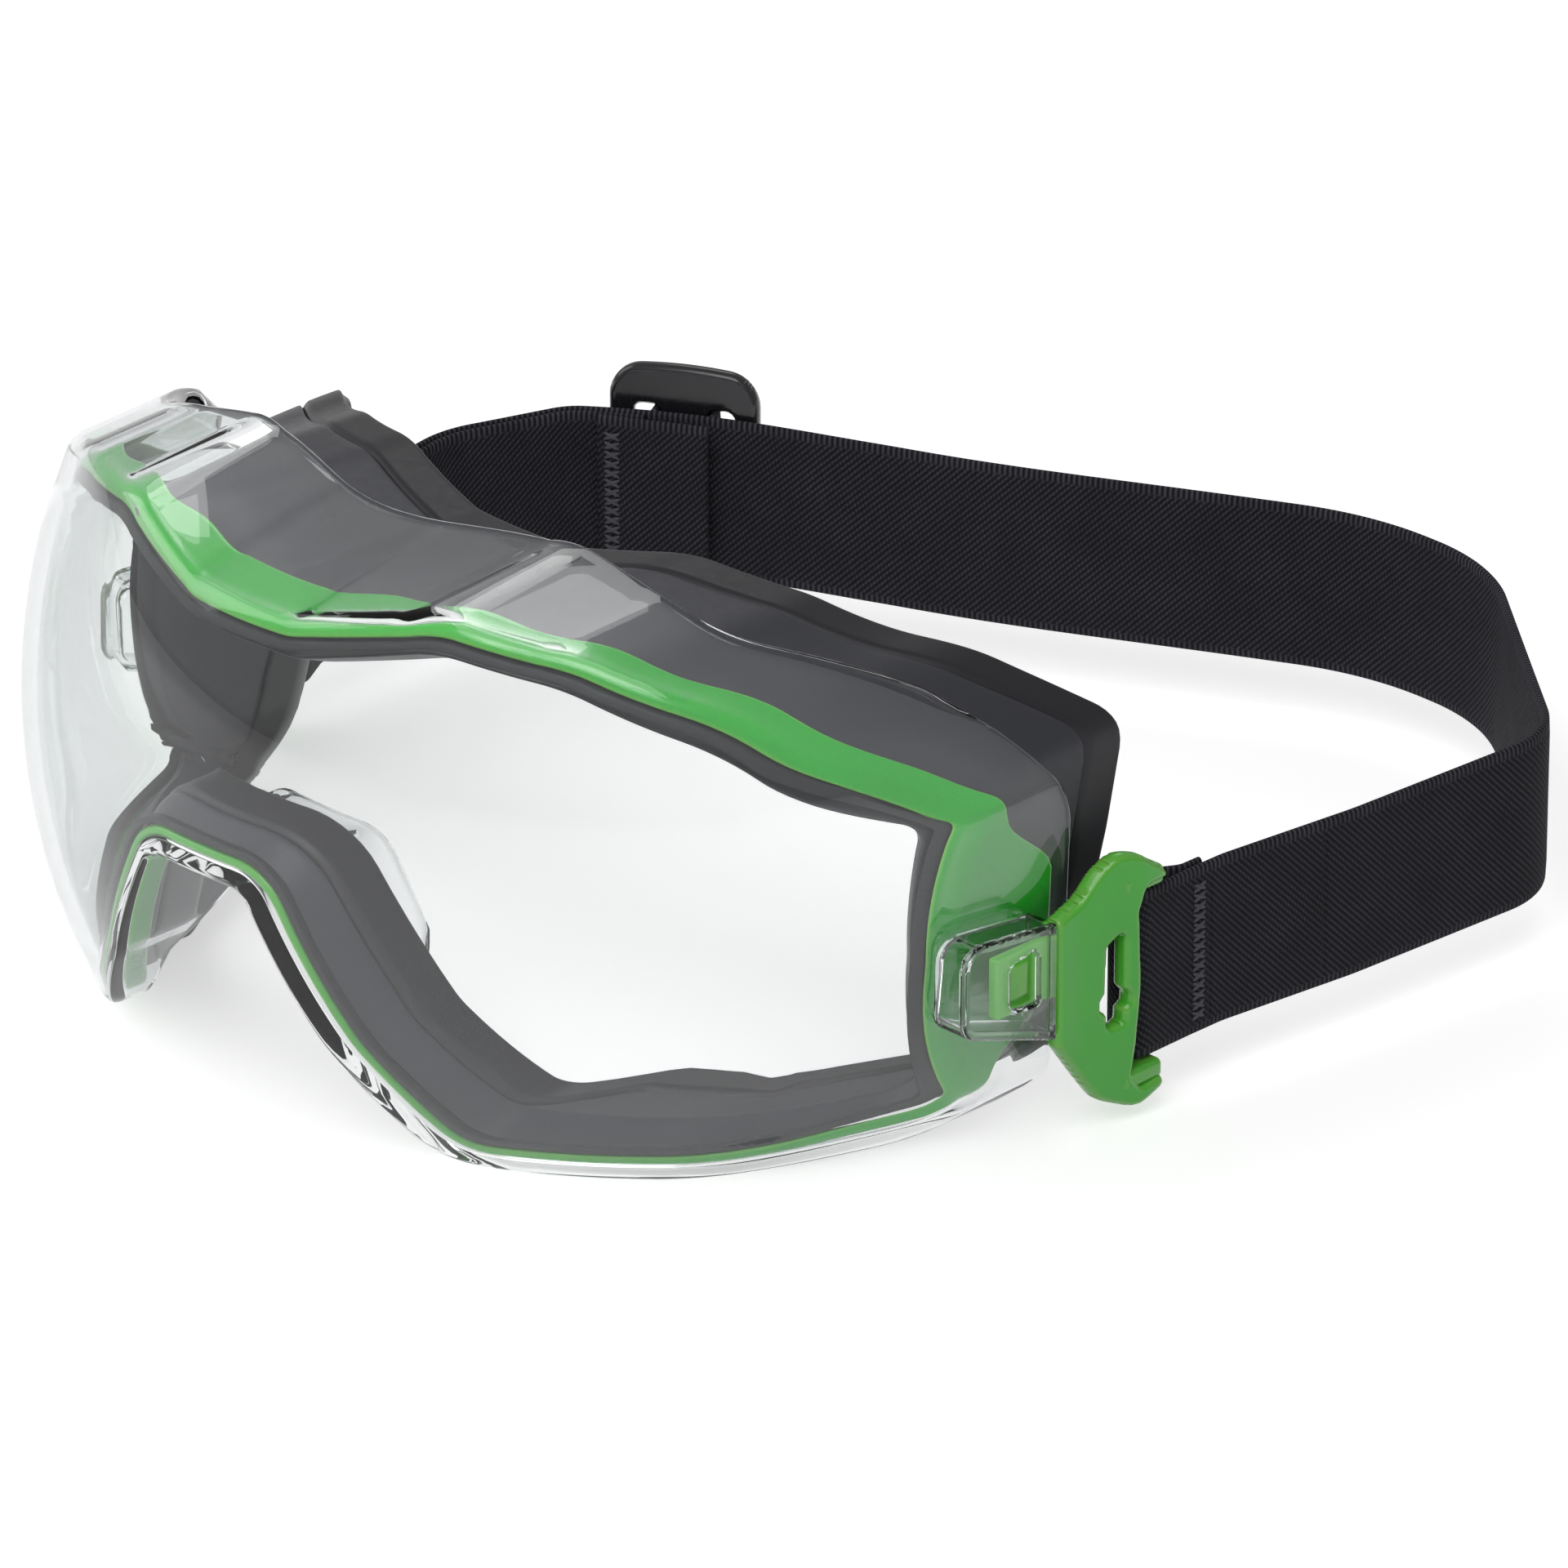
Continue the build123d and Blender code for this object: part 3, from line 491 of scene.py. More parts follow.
def rounded_box(centre, size, radius, turn=0.0):
    """A box with rounded edges: a sphere of that radius whose eight octants are pulled apart by half the
    size less the radius, so that each point is its unit direction times r plus its sign times the pull."""
    u = np.linspace(0, 2 * math.pi, 33)[:-1] + math.pi / 32
    v = np.linspace(-math.pi / 2, math.pi / 2, 14)
    uu, vv = np.meshgrid(u, v)
    direction = np.stack([np.cos(vv) * np.cos(uu), np.cos(vv) * np.sin(uu), np.sin(vv)], -1)
    pull = np.array(size) / 2 - radius
    sign = np.sign(direction)
    sign[..., 2] = np.sign(vv)
    points = direction * radius + sign * pull
    c, s = math.cos(turn), math.sin(turn)
    spin = np.array([[c, s, 0], [-s, c, 0], [0, 0, 1]])
    points = points @ spin + np.array(centre)
    low = np.repeat(points[:1].mean(1, keepdims=True), len(u), 1)
    high = np.repeat(points[-1:].mean(1, keepdims=True), len(u), 1)
    return surface(np.concatenate([low, points, high]), wrap_rows=False)


# ---------------------------------------------------------------- materials
class Nodes:
    """A short way to write a material's node tree."""

    def __init__(self, name):
        self.material = bpy.data.materials.new(name)
        self.material.use_nodes = True
        self.tree = self.material.node_tree
        self.shader = self.tree.nodes["Principled BSDF"]

    def add(self, kind, inputs=None, **values):
        node = self.tree.nodes.new(kind)
        for key, value in values.items():
            setattr(node, key, value)
        for key, value in (inputs or {}).items():
            self.put(node.inputs[key], value)
        return node

    def put(self, socket, value):
        if isinstance(value, bpy.types.NodeSocket):
            self.tree.links.new(value, socket)
        else:
            socket.default_value = value

    def set(self, **values):
        for key, value in values.items():
            self.put(self.shader.inputs[key.replace("_", " ")], value)

    def object_at(self):
        return self.add("ShaderNodeTexCoord").outputs["Object"]

    def math(self, operation, a, b=0.0, c=0.0):
        node = self.add("ShaderNodeMath", operation=operation)
        for socket, value in zip(node.inputs, (a, b, c)):
            self.put(socket, value)
        return node.outputs[0]

    def noise(self, vector, scale, detail=3.0, rough=0.5):
        inputs = {"Vector": vector, "Scale": scale, "Detail": detail, "Roughness": rough}
        return self.add("ShaderNodeTexNoise", inputs).outputs["Fac"]

    def between(self, value, low, high, a=0.0, b=1.0):
        inputs = {"Value": value, "From Min": low, "From Max": high, "To Min": a, "To Max": b}
        return self.add("ShaderNodeMapRange", inputs).outputs["Result"]

    def blend(self, share, a, b):
        node = self.add("ShaderNodeMix", data_type="RGBA")
        self.put(node.inputs[0], share)
        self.put(node.inputs[6], a)
        self.put(node.inputs[7], b)
        return node.outputs[2]

    def bump(self, height, strength, distance):
        inputs = {"Height": height, "Strength": strength, "Distance": distance}
        self.put(self.shader.inputs["Normal"], self.add("ShaderNodeBump", inputs).outputs["Normal"])


def four(value, gain=1.0):
    """A colour times a gain, with its alpha."""
    return (*[min(1.0, c * gain) for c in value], 1.0)


def clear_plastic(name, tint, edge_shade):
    """Clear polycarbonate: full transmission, with painted shade that greys it where it is seen edge on,
    with faint flow marks in its gloss; lamps shine through it."""
    n = Nodes(name)
    wave = n.noise(n.object_at(), 60.0, 2.0)
    # Painted shade: the base colour turns grey where the lens is seen edge on.
    slant = n.add("ShaderNodeLayerWeight", {"Blend": 0.5}).outputs["Facing"]
    n.set(Base_Color=n.blend(n.math("POWER", slant, 2.0), four(tint), four(edge_shade)))
    n.set(Transmission_Weight=1.0, IOR=1.45, Roughness=n.between(wave, 0.3, 0.7, 0.0, 0.025))
    lamp = n.add("ShaderNodeLightPath").outputs["Is Shadow Ray"]
    through = n.add("ShaderNodeBsdfTransparent", {"Color": (0.88, 0.88, 0.88, 1.0)})
    mix = n.add("ShaderNodeMixShader", {"Fac": lamp})
    n.tree.links.new(n.shader.outputs[0], mix.inputs[1])
    n.tree.links.new(through.outputs[0], mix.inputs[2])
    n.tree.links.new(mix.outputs[0], n.tree.nodes["Material Output"].inputs["Surface"])
    return n.material


def gloss_plastic(name, base, edge):
    """Moulded glossy plastic whose convex edges carry a painted highlight in a paler colour, with a faint
    orange-peel in its gloss.
    """
    n = Nodes(name)
    at = n.object_at()
    point = n.add("ShaderNodeNewGeometry").outputs["Pointiness"]
    cloud = n.noise(at, 45.0, 2.0)
    # Painted highlight: convex edges, found by pointiness, are blended towards the paler edge colour.
    painted_highlight = n.between(point, 0.515, 0.56)
    tone = n.blend(cloud, four(base, 0.82), four(base, 1.18))
    n.set(Base_Color=n.blend(painted_highlight, tone, four(edge)))
    n.set(Roughness=n.between(n.noise(at, 400.0), 0.3, 0.7, 0.16, 0.26))
    n.set(Coat_Weight=0.25, Coat_Roughness=0.08)
    n.bump(n.noise(at, 900.0, 2.0), 0.08, 0.0002)
    return n.material


def soft_rubber(name, base, grain, rough):
    """Matt moulded rubber: cloudy tone and a fine spark-eroded grain."""
    n = Nodes(name)
    at = n.object_at()
    cloud = n.noise(at, 35.0, 4.0)
    n.set(Base_Color=n.blend(cloud, four(base, 0.82), four(base, 1.2)))
    n.set(Roughness=n.between(n.noise(at, 700.0), 0.3, 0.7, rough - 0.02, rough + 0.03))
    n.set(Specular_IOR_Level=0.35)
    n.bump(n.noise(at, 2 * grain, 2.0), 0.006, 0.0002)
    return n.material


def woven(name, base, rib):
    """Elastic webbing: diagonal twill ribs across a fine weft, smooth cord along both edges; the raised parts
    are painted paler as a painted highlight.
    """
    n = Nodes(name)
    uv = n.add("ShaderNodeUVMap", uv_map="weave").outputs["UV"]
    axes = n.add("ShaderNodeSeparateXYZ", {"Vector": uv})
    along, across = axes.outputs["X"], axes.outputs["Y"]
    fuzz = n.noise(uv, 900.0, 3.0)
    wobble = n.math("MULTIPLY", n.math("SUBTRACT", fuzz, 0.5), 1.2)
    twill = n.math("ADD", n.math("MULTIPLY", n.math("ADD", along, across), 2 * math.pi / 0.00105), wobble)
    slant = n.math("SUBTRACT", along, n.math("MULTIPLY", across, 0.25))
    weft = n.math("MULTIPLY", slant, 2 * math.pi / 0.00062)
    ribs = n.between(n.math("SINE", twill), -1, 1)
    picks = n.between(n.math("SINE", weft), -1, 1)
    fine = n.math("ADD", 0.45, n.math("MULTIPLY", picks, 0.55))
    cloth = n.math("MULTIPLY", n.math("POWER", ribs, 1.4), fine)
    half = strap_sizes().width / 2
    edge = n.between(n.math("ABSOLUTE", across), half - 0.0016, half - 0.0010)
    cord = n.between(n.math("SINE", n.math("MULTIPLY", along, 2 * math.pi / 0.0008)), -1, 1)
    middle = n.math("MULTIPLY", cloth, n.math("SUBTRACT", 1.0, edge))
    height = n.math("ADD", middle, n.math("MULTIPLY", cord, edge))
    # Painted highlight: the higher the weave stands, the nearer its colour is to the paler rib colour.
    tone = n.math("MULTIPLY", height, n.between(n.noise(uv, 120.0), 0.3, 0.7, 0.75, 1.15))
    n.set(Base_Color=n.blend(tone, four(base), four(rib)), Roughness=0.8, Specular_IOR_Level=0.18)
    n.bump(height, 0.8, 0.0004)
    return n.material


# ---------------------------------------------------------------- pieces of the goggles
class Builder:
    """What every operator shares: its place in the panel and its undo."""

    bl_options = {"REGISTER", "UNDO"}

    def execute(self, context):
        self.build()
        return {"FINISHED"}


def lens_shell(body):
    """The lens: columns run out from a pole on the sphere to the outline, round the ridge on a quadratic
    curve, back along the rim, round its rear edge, and home along the inner faces. On the sphere
    x = x_edge t^0.85 and z = z_pole + (z_edge - z_pole) t^1.25."""
    pole = 0.70 * body.brow

    def half(distance, ridge, edge_rows):
        wall = body.rim(distance)
        ball = sphere(body, body.r - distance)
        y_edge = solve(wall, ball)
        rear = solve(wall, rear_edge(body, body.side_back)) - 0.5 * body.wall
        corner = on_wall(wall, y_edge)
        t = np.linspace(0, 1, 34)[:, None] ** 0.9
        x = corner[None, :, 0] * t**0.85
        z = pole + (corner[None, :, 2] - pole) * t**1.25
        disc = np.stack([x, ball(x, z), z], -1)
        span = np.linalg.norm(disc[-1] - disc[-4], axis=-1, keepdims=True)
        before = corner + (disc[-4] - corner) * np.minimum(ridge / span, 1)
        after = on_wall(wall, np.minimum(y_edge + ridge, rear - 0.5))
        q = np.linspace(0, 1, 8)[1:-1][:, None, None]
        bend = before * (1 - q) ** 2 + corner * 2 * q * (1 - q) + after * q**2
        keep = np.linalg.norm(disc[:-4] - corner, axis=-1).min(1) > ridge * 1.05
        run = np.linspace(0, 1, edge_rows)[:, None]
        rim = on_wall(wall, after[None, :, 1] + (rear - after[:, 1])[None] * run)
        return np.concatenate([disc[:-4][keep], before[None], bend, rim])

    out = half(0.0, 2.6, 14)
    into = half(body.wall, 1.3, 14)
    middle = (out[-1] + into[-1]) / 2
    back = np.array([0.0, 1.0, 0.0])
    a = np.linspace(0, math.pi, 9)[1:-1][:, None, None]
    round_edge = middle + (out[-1] - middle) * np.cos(a) + back * 0.5 * body.wall * np.sin(a)
    return surface(np.concatenate([out, round_edge, into[::-1]]), wrap_rows=False)


def pocket(body):
    """The moulded pocket on the left side rim: a rounded plate with a window, standing off the rim on a
    skirt wall; in side view its top and underside rise to the front."""
    low, top, front, back = 16.1, 33.5, -29.0, -11.0
    outer = rounded(np.array([
        (back, low, 0.6), (back, top, 0.6), (front, top + 2, 3.2), (front, low + 6, 3.2)]))
    window = rounded(np.array([
        (-14.8, 22.8, 0.7), (-14.8, 30.8, 0.7), (-20.0, 30.0, 1.0), (-20.0, 23.6, 1.0)]))
    face_x, root_x = body.pocket_x, body.w - 1.0
    cap = plate(outer, [window], 1.2, 0.45, 0.35, lambda p, q, h: np.stack([face_x + h + 0 * p, p, q], -1))
    inner = inset_line(outer, 1.3)
    levels = [(outer, root_x), (outer, face_x), (inner, face_x), (inner, root_x)]
    ring = np.stack([np.column_stack([np.full(len(line), x), line]) for line, x in levels])
    return [cap, surface(ring)]


def inset_line(line, distance):
    """A closed line moved towards its own inside along its normals."""
    normal = to_the_right(np.roll(line, -1, 0) - np.roll(line, 1, 0))
    middle = line.mean(0)
    way = np.sign(((middle - line) * normal).sum(1).sum())
    return line + normal * way * distance


class GOGGLES_OT_lens(Builder, bpy.types.Operator):
    """Make the clear lens with its rim and its two clip pockets"""

    bl_idname = "goggles.lens"
    bl_label = "Lens"

    def build(self):
        body = Body()
        clear = clear_plastic("clear_polycarbonate", finish_colours().clear, finish_colours().edge_shade)
        make("lens_shell", [lens_shell(body)], GOGGLES, ["lens"], clear, crease=50)
        left = pocket(body)
        make("lens_pocket_left", left, GOGGLES, ["lens"], clear, crease=40)
        right = [mirrored(part) for part in left]
        make("lens_pocket_right", right, GOGGLES, ["lens"], clear, crease=40)


class GOGGLES_OT_gasket(Builder, bpy.types.Operator):
    """Make the dark gasket between the lens and the rail"""

    bl_idname = "goggles.gasket"
    bl_label = "Lens gasket"

    def build(self):
        body = Body()
        front = body.r - body.wall - body.fit
        outer, inner = body.rim(body.nest), body.rim(body.nest + 1.1)
        depths = [solve(w, set_back(body, front - d, 7.0, d - 20.0))
                  for w in (outer, inner) for d in (0.0, body.gasket)]
        band = sleeve(outer, inner, *depths, 0.3, rows=4, arc=4)
        dark = soft_rubber("dark_gasket", finish_colours().black, 1500.0, 0.5)
        make("lens_gasket_ring", [surface(band)], GOGGLES, ["lens_gasket"], dark)


class GOGGLES_OT_rail(Builder, bpy.types.Operator):
    """Make the coloured rail inside the lens's rim, with its side panels"""

    bl_idname = "goggles.rail"
    bl_label = "Rail"

    def build(self):
        body = Body()
        edge = body.wall + body.fit
        front = body.r - edge
        depth = shell_sizes().rail_depth / MM
        outer, inner = body.rim(edge), body.rim(edge + body.rail)
        ends = []
        for wall in (outer, inner):
            y0 = solve(wall, set_back(body, front, 5.0, -12.0))
            p = on_wall(wall, y0)
            top = np.clip((p[:, 2] - body.temple) / 12, 0, 1)
            off = np.abs(p[:, 0])
            wave = 0.45 * np.sin(off * 0.42) * top * (off > 8)
            centre = (4.0 * np.exp(-((off / 24) ** 4)) + 1.5 * np.clip((off - 40) / 30, 0, 1)) * top
            panel = solve(wall, rear_edge(body, body.side_back - 1.0)) - 1.0
            share = np.clip((off - 0.86 * body.w) / (0.08 * body.w), 0, 1)
            share = share * np.clip((body.temple + 1 - p[:, 2]) / 13, 0, 1)
            share = smooth_step(share * np.clip((p[:, 2] - 2) / 8, 0, 1))
            rail = np.minimum(y0 + depth + wave + centre, panel)
            ends.append((y0, rail + (panel - rail) * share))
        (f0, r0), (f1, r1) = ends
        band = sleeve(outer, inner, f0, r0, f1, r1, 0.8, rows=14)
        c = finish_colours()
        green = gloss_plastic("green_gloss", c.green, c.highlight_green)
        make("rail", [surface(band)], GOGGLES, ["frame"], green)


class GOGGLES_OT_skirt(Builder, bpy.types.Operator):
    """Make the soft skirt between the lens and the face, and the face seal"""

    bl_idname = "goggles.skirt"
    bl_label = "Skirt and seal"

    def build(self):
        body, s, c = Body(), shell_sizes(), finish_colours()
        thick, seal, wide = s.skirt / MM, s.seal / MM, s.seal_width / MM
        face, start = body.face_depth, body.r - body.wall - body.gasket - 2 * body.fit
        outer, inner = body.skirt(0.0), body.skirt(thick)
        rules = set_back(body, start, 5.0, -20.0), face_rule(body, face - wide - 0.05)
        ends = [solve(w, rule) for w in (outer, inner) for rule in rules]
        ends[2] = np.minimum(ends[2] + 7.0, ends[3] - 1.0)
        soft = lobe(sleeve(outer, inner, *ends, 0.5, rows=30), body, -42.0, 2.0, 4.0)
        grey = soft_rubber("grey_rubber", c.grey, 1100.0, 0.42)
        make("skirt", [surface(soft)], GOGGLES, ["face_skirt"], grey)
        outer, inner = body.skirt(-0.1), body.skirt(0.75 * seal)
        ends = [solve(w, face_rule(body, d)) for w in (outer, inner) for d in (face - wide, face)]
        soft = lobe(sleeve(outer, inner, *ends, 1.3, rows=8, arc=8), body, -42.0, 2.0, 4.0)
        black = soft_rubber("black_rubber", c.black, 1300.0, 0.42)
        lip = make("face_lip", [surface(soft)], GOGGLES, ["face_seal"], black)


# ---------------------------------------------------------------- strap
class Strap:
    """The strap's plan lines in millimetres, from behind the left clip round to the right one."""

    def __init__(self):
        s = strap_sizes()
        self.body = Body()
        self.wide, self.thick, self.height = s.width / MM, s.thick / MM, s.height / MM
        self.fit = self.body.fit
        self.step = self.thick + self.fit  # from one layer of webbing to the next
        self.raised = 3.0  # how much higher the webbing stands at the slider
        self.bar_x, self.bar_y, self.bar_r = self.body.w + 2.1, 6.2, 1.7
        self.out = self.bar_x + self.bar_r + self.fit + self.thick / 2 - 0.25
        self.start = self.bar_y + 12.0  # end of the sewn loop
        self.flex = self.start + 20.0  # end of the stretch that bends
        slope, run_out = 0.117, 6.0  # the strap's outward lean, and how far it runs past that stretch
        self.lean = (self.out + slope * (17.0 + run_out), self.flex + run_out)
        reach = 117.5 - self.thick / 2  # the rearmost webbing
        side_end = np.array([self.out + 4.4, self.flex + 36])
        corner = 8.1  # the rear bend's corner, behind the side's end
        bend = side_end + corner / (side_end[1] - self.lean[1]) * (side_end - self.lean)
        bend[1] = side_end[1] + corner
        self.right = np.array([6.2 - self.out, self.flex + 22.8])  # the two corners of the slider's run
        self.back = np.array([self.out - 125.2, reach - 32.4])
        self.way = (self.back - self.right) / np.linalg.norm(self.back - self.right)
        o, lead = self.out, self.start + 3
        self.corners = np.array([
            (o, self.start, 0), (o, lead, 20), (*self.lean, 60), (*bend, 15), (o - 38, reach, 30),
            (o - 61, reach, 45), (*self.back, 120), (*self.right, 8), (-self.lean[0], self.lean[1], 14),
            (-o, lead, 20), (-o, self.start, 0)])

    def on_run(self, distance):
        """A point of the slider's stretch, so far from the slider's rest place towards the back."""
        return self.right + (17.0 + distance) * self.way

    def loop(self):
        """The webbing round the left clip's bar, inner layer first."""
        turn = self.bar_r + self.fit + self.thick / 2
        inner, ease, b = self.out - self.step, self.start - 3.5, self.bar_y
        return np.array([
            (inner, self.start, 0), (inner, ease, 3), (self.bar_x - turn, b + 2.5, 3),
            (self.bar_x - turn, b - turn, 0.94 * turn), (self.bar_x + turn, b - turn, 0.94 * turn),
            (self.out, ease, 8), (self.out, self.start, 0)])


def along(line):
    """Distance along an open line at each of its points."""
    return np.r_[0, np.cumsum(np.linalg.norm(np.diff(line, axis=0), axis=1))]


def evenly(line, pitch):
    """An open line resampled at an even pitch."""
    s = along(line)
    t = np.linspace(0, s[-1], max(2, int(round(s[-1] / pitch)) + 1))
    return np.column_stack([np.interp(t, s, line[:, k]) for k in range(line.shape[1])])


def left_normals(line):
    """Unit normals to the left of an open plan line."""
    return -to_the_right(np.gradient(line, axis=0))


def side_step(line, distance):
    """An open plan line moved to its left by a distance along its normals."""
    return line + left_normals(line) * distance


def band(line, strap, lift=0.0, start=0.0):
    """Webbing on edge along a plan line: a rounded rectangle, its long way upright and its short way along
    the line's normal, carried along it; both ends are closed. u is the length along it, v the height."""
    normal = left_normals(line)
    r = 0.42 * strap.thick
    corner = np.array([(-1, -1, r), (-1, 1, r), (1, 1, r), (1, -1, r)], float)
    corner[:, 0] *= strap.thick / 2
    corner[:, 1] *= strap.wide / 2
    section = rounded(corner, arc=4, side=9)
    thin = 1 - 0.22 * np.clip((np.abs(section[:, 1]) - strap.wide / 2 + 2.2) / 2.2, 0, 1)
    across, up = section[:, 0] * thin, section[:, 1]
    lift = np.broadcast_to(lift, len(line))
    xy = line[:, None] + normal[:, None] * across[None, :, None]
    z = strap.height + lift[:, None] + up[None]
    grid = np.concatenate([xy, np.broadcast_to(z, xy.shape[:2])[..., None]], -1)
    ends = grid[[0, -1]].mean(1, keepdims=True) + 0 * grid[[0, -1]]
    grid = np.concatenate([ends[:1], grid, ends[1:]])
    s = start + along(line)
    s = np.r_[s[0], s, s[-1]]
    v = np.concatenate([[0 * up], np.tile(up, (len(line), 1)), [0 * up]])
    uv = np.stack([np.broadcast_to(s[:, None], v.shape), v], -1).reshape(-1, 2) * MM
    return (*surface(grid, wrap_rows=False), uv)


def webbing_material():
    """The webbing's material, made once."""
    found = bpy.data.materials.get("black_webbing")
    return found or woven("black_webbing", finish_colours().web, finish_colours().rib)


class GOGGLES_OT_strap(Builder, bpy.types.Operator):
    """Make the elastic head strap from clip to clip"""

    bl_idname = "goggles.strap"
    bl_label = "Head strap"

    def build(self):
        strap = Strap()
        material = webbing_material()
        line = evenly(rounded(strap.corners, arc=24, side=24, closed=False), 0.8)
        s = along(line)
        left = np.argmax(line[:, 1] > strap.flex)
        right = len(line) - 1 - np.argmax(line[::-1, 1] > strap.flex)
        place = s[np.argmin(np.linalg.norm(line - strap.on_run(0.0), axis=1))]
        lift = strap.raised * np.exp(-(((s - place) / 34.0) ** 2))
        lift = lift + 1.2 * np.exp(-(((s - place + 80) / 60.0) ** 2))

        def run(a, b, name, body, stands_for, ride=True):
            part = [band(line[a:b + 1], strap, lift[a:b + 1], s[a])]
            return make(name, part, body, stands_for, material, ride=ride)

        covered = ["webbing_left_side", "webbing_rear_bend", "webbing_back", "webbing_right_outer"]
        run(left, right, "strap_band", STRAP, covered)
        near = run(0, left, "strap_left_flex", STRAP, ["webbing_left_flex"], ride=False)
        inner = evenly(side_step(line, strap.step), 0.8)
        short_end = side_step(np.array([strap.on_run(-4.5), strap.on_run(0.0)]), strap.step)[0]
        short = np.argmin(np.linalg.norm(inner - short_end, axis=1))
        joint = len(inner) - 1 - np.argmax(inner[::-1, 1] > strap.flex)
        s_inner = along(inner)
        inner_lift = np.interp(s_inner, s * s_inner[-1] / s[-1], lift)
        make("strap_inner", [band(inner[short:joint + 1], strap, inner_lift[short:joint + 1], 3.0)], STRAP,
             ["webbing_right_inner"], material)
        far = make("strap_right_flex", [
            band(line[right:], strap, lift[right:], s[right]),
            band(inner[joint:], strap, inner_lift[joint:], 3.0 + s_inner[joint] - s_inner[short])],
            STRAP, ["webbing_right_flex"], material, ride=False)
        for piece in (near, far):
            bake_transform(piece)
        loop = evenly(rounded(strap.loop(), arc=16, side=6, closed=False), 0.35)
        length_round = along(loop)[-1]
        make("strap_left_loop", [band(loop, strap, 0.0, -length_round)], LEFT_CLIP, ["webbing_left_loop"],
             material)
        turn = loop * [-1, 1]
        make("strap_right_turn", [band(turn[::-1], strap, 0.0, s[-1])], RIGHT_CLIP, ["webbing_right_turn"],
             material)


def bar_tack(strap, place, way, normal, rows):
    """Stitches one above another: each a small ellipsoid, length l along the webbing, leaning."""
    count = strap_sizes().stitches
    u, v = np.meshgrid(np.linspace(0, 2 * math.pi, 9)[:-1], np.linspace(-math.pi / 2, math.pi / 2, 7))
    unit = np.stack([np.sin(v), np.cos(v) * np.cos(u), np.cos(v) * np.sin(u)], -1)
    parts = []
    for row in range(rows):
        for k in range(count):
            z = ((k + 0.5) / count - 0.5) * (strap.wide - 4.4)
            lean = math.radians(25 if row % 2 == 0 else -25)
            p = unit * [1.3, 0.3, 0.32]
            a = p[..., 0] * math.cos(lean) - p[..., 2] * math.sin(lean)
            h = p[..., 0] * math.sin(lean) + p[..., 2] * math.cos(lean)
            xy = place + a[..., None] * way + p[..., 1:2] * normal
            grid = np.concatenate([xy, (strap.height + z + h)[..., None]], -1)
            parts.append(surface(grid, wrap_rows=False))
    return parts


class GOGGLES_OT_stitching(Builder, bpy.types.Operator):
    """Make the bar tacks that hold the strap's two sewn ends"""

    bl_idname = "goggles.stitching"
    bl_label = "Stitching"

    def build(self):
        strap = Strap()
        thread = soft_rubber("black_thread", finish_colours().rib, 2500.0, 0.7)
        place = np.array([strap.out + strap.thick / 2 + 0.05, strap.start - 2.2])
        left = bar_tack(strap, place, np.array([0.0, 1.0]), np.array([1.0, 0.0]), 2)
        make("tack_left", left, LEFT_CLIP, ["stitching_left_loop"], thread, merge=None)
        normal = np.array([-strap.way[1], strap.way[0]])
        place = strap.on_run(-9.3) - normal * (2 * strap.step + strap.thick / 2 + 0.05)
        tail = bar_tack(strap, place, strap.way, normal, 2)
        tail = [(p + [0, 0, strap.raised], f) for p, f in tail]
        make("tack_slider", tail, SLIDER, ["stitching_slider"], thread, merge=None)


class GOGGLES_OT_slider(Builder, bpy.types.Operator):
    """Make the slider and the webbing that turns round its middle bar"""

    bl_idname = "goggles.slider"
    bl_label = "Slider"

    def build(self):
        strap, s = Strap(), strap_sizes()
        long, tall, thick = s.slider_long / MM, s.slider_tall / MM, s.slider_thick / MM
        way, normal = strap.way, np.array([-strap.way[1], strap.way[0]])
        middle = strap.on_run(0.0)
        out = strap.thick / 2 + strap.fit + thick / 2
        a, b = long / 2, tall / 2
        end_bar, slot = 3.6, 4.2  # widths of the two end bars and of the two slots
        outer = rounded(np.array([(-a, -b, 4.5), (-a, b, 4.5), (a, b, 4.5), (a, -b, 4.5)]), arc=12)
        slots = []
        for side in (-1, 1):
            x, w, h = side * (a - end_bar - slot / 2), slot / 2, strap.wide / 2 + 0.5
            slots.append(rounded(np.array([
                (x - w, -h, 1.4), (x - w, h, 1.4), (x + w, h, 1.4), (x + w, -h, 1.4)])))

        def place(p, q, h):
            bow = 0.9 * (1 - (p / a) ** 2) * np.clip((np.abs(q) - 13) / 4, 0, 1)
            xy = middle + p[:, None] * way + (out + h)[:, None] * normal
            return np.column_stack([xy, strap.height + strap.raised + q + np.sign(q) * bow])

        part = plate(outer, slots, thick, 0.7, 0.4, place)
        # The seal's black is the slider's edge colour: a painted highlight on its convex edges.
        black = gloss_plastic("black_satin", finish_colours().slider, finish_colours().black)
        make("slider_plate", [part], SLIDER, ["slider"], black, crease=60)
        middle_bar = a - end_bar - slot
        near, far = strap.thick / 2 + strap.fit, out + thick / 2 + strap.fit + strap.thick / 2
        reach = middle_bar + strap.fit + strap.thick / 2
        path = np.array([(reach, near, 0), (reach, far, 1), (-reach, far, 1), (-reach, near, 0)])
        local = evenly(rounded(path, arc=8, side=8, closed=False), 0.35)
        wrap = middle + local[:, :1] * way + local[:, 1:] * normal
        make("slider_wrap", [band(wrap, strap, strap.raised)], SLIDER, ["webbing_slider_wrap"],
             webbing_material())
        ends = np.array([(5.0, -2 * strap.step), (-11.5, -2 * strap.step)])
        local = evenly(ends, 0.8)
        tail = middle + local[:, :1] * way + local[:, 1:] * normal
        make("slider_tail", [band(tail, strap, strap.raised)], SLIDER, ["webbing_slider_tail"],
             webbing_material())


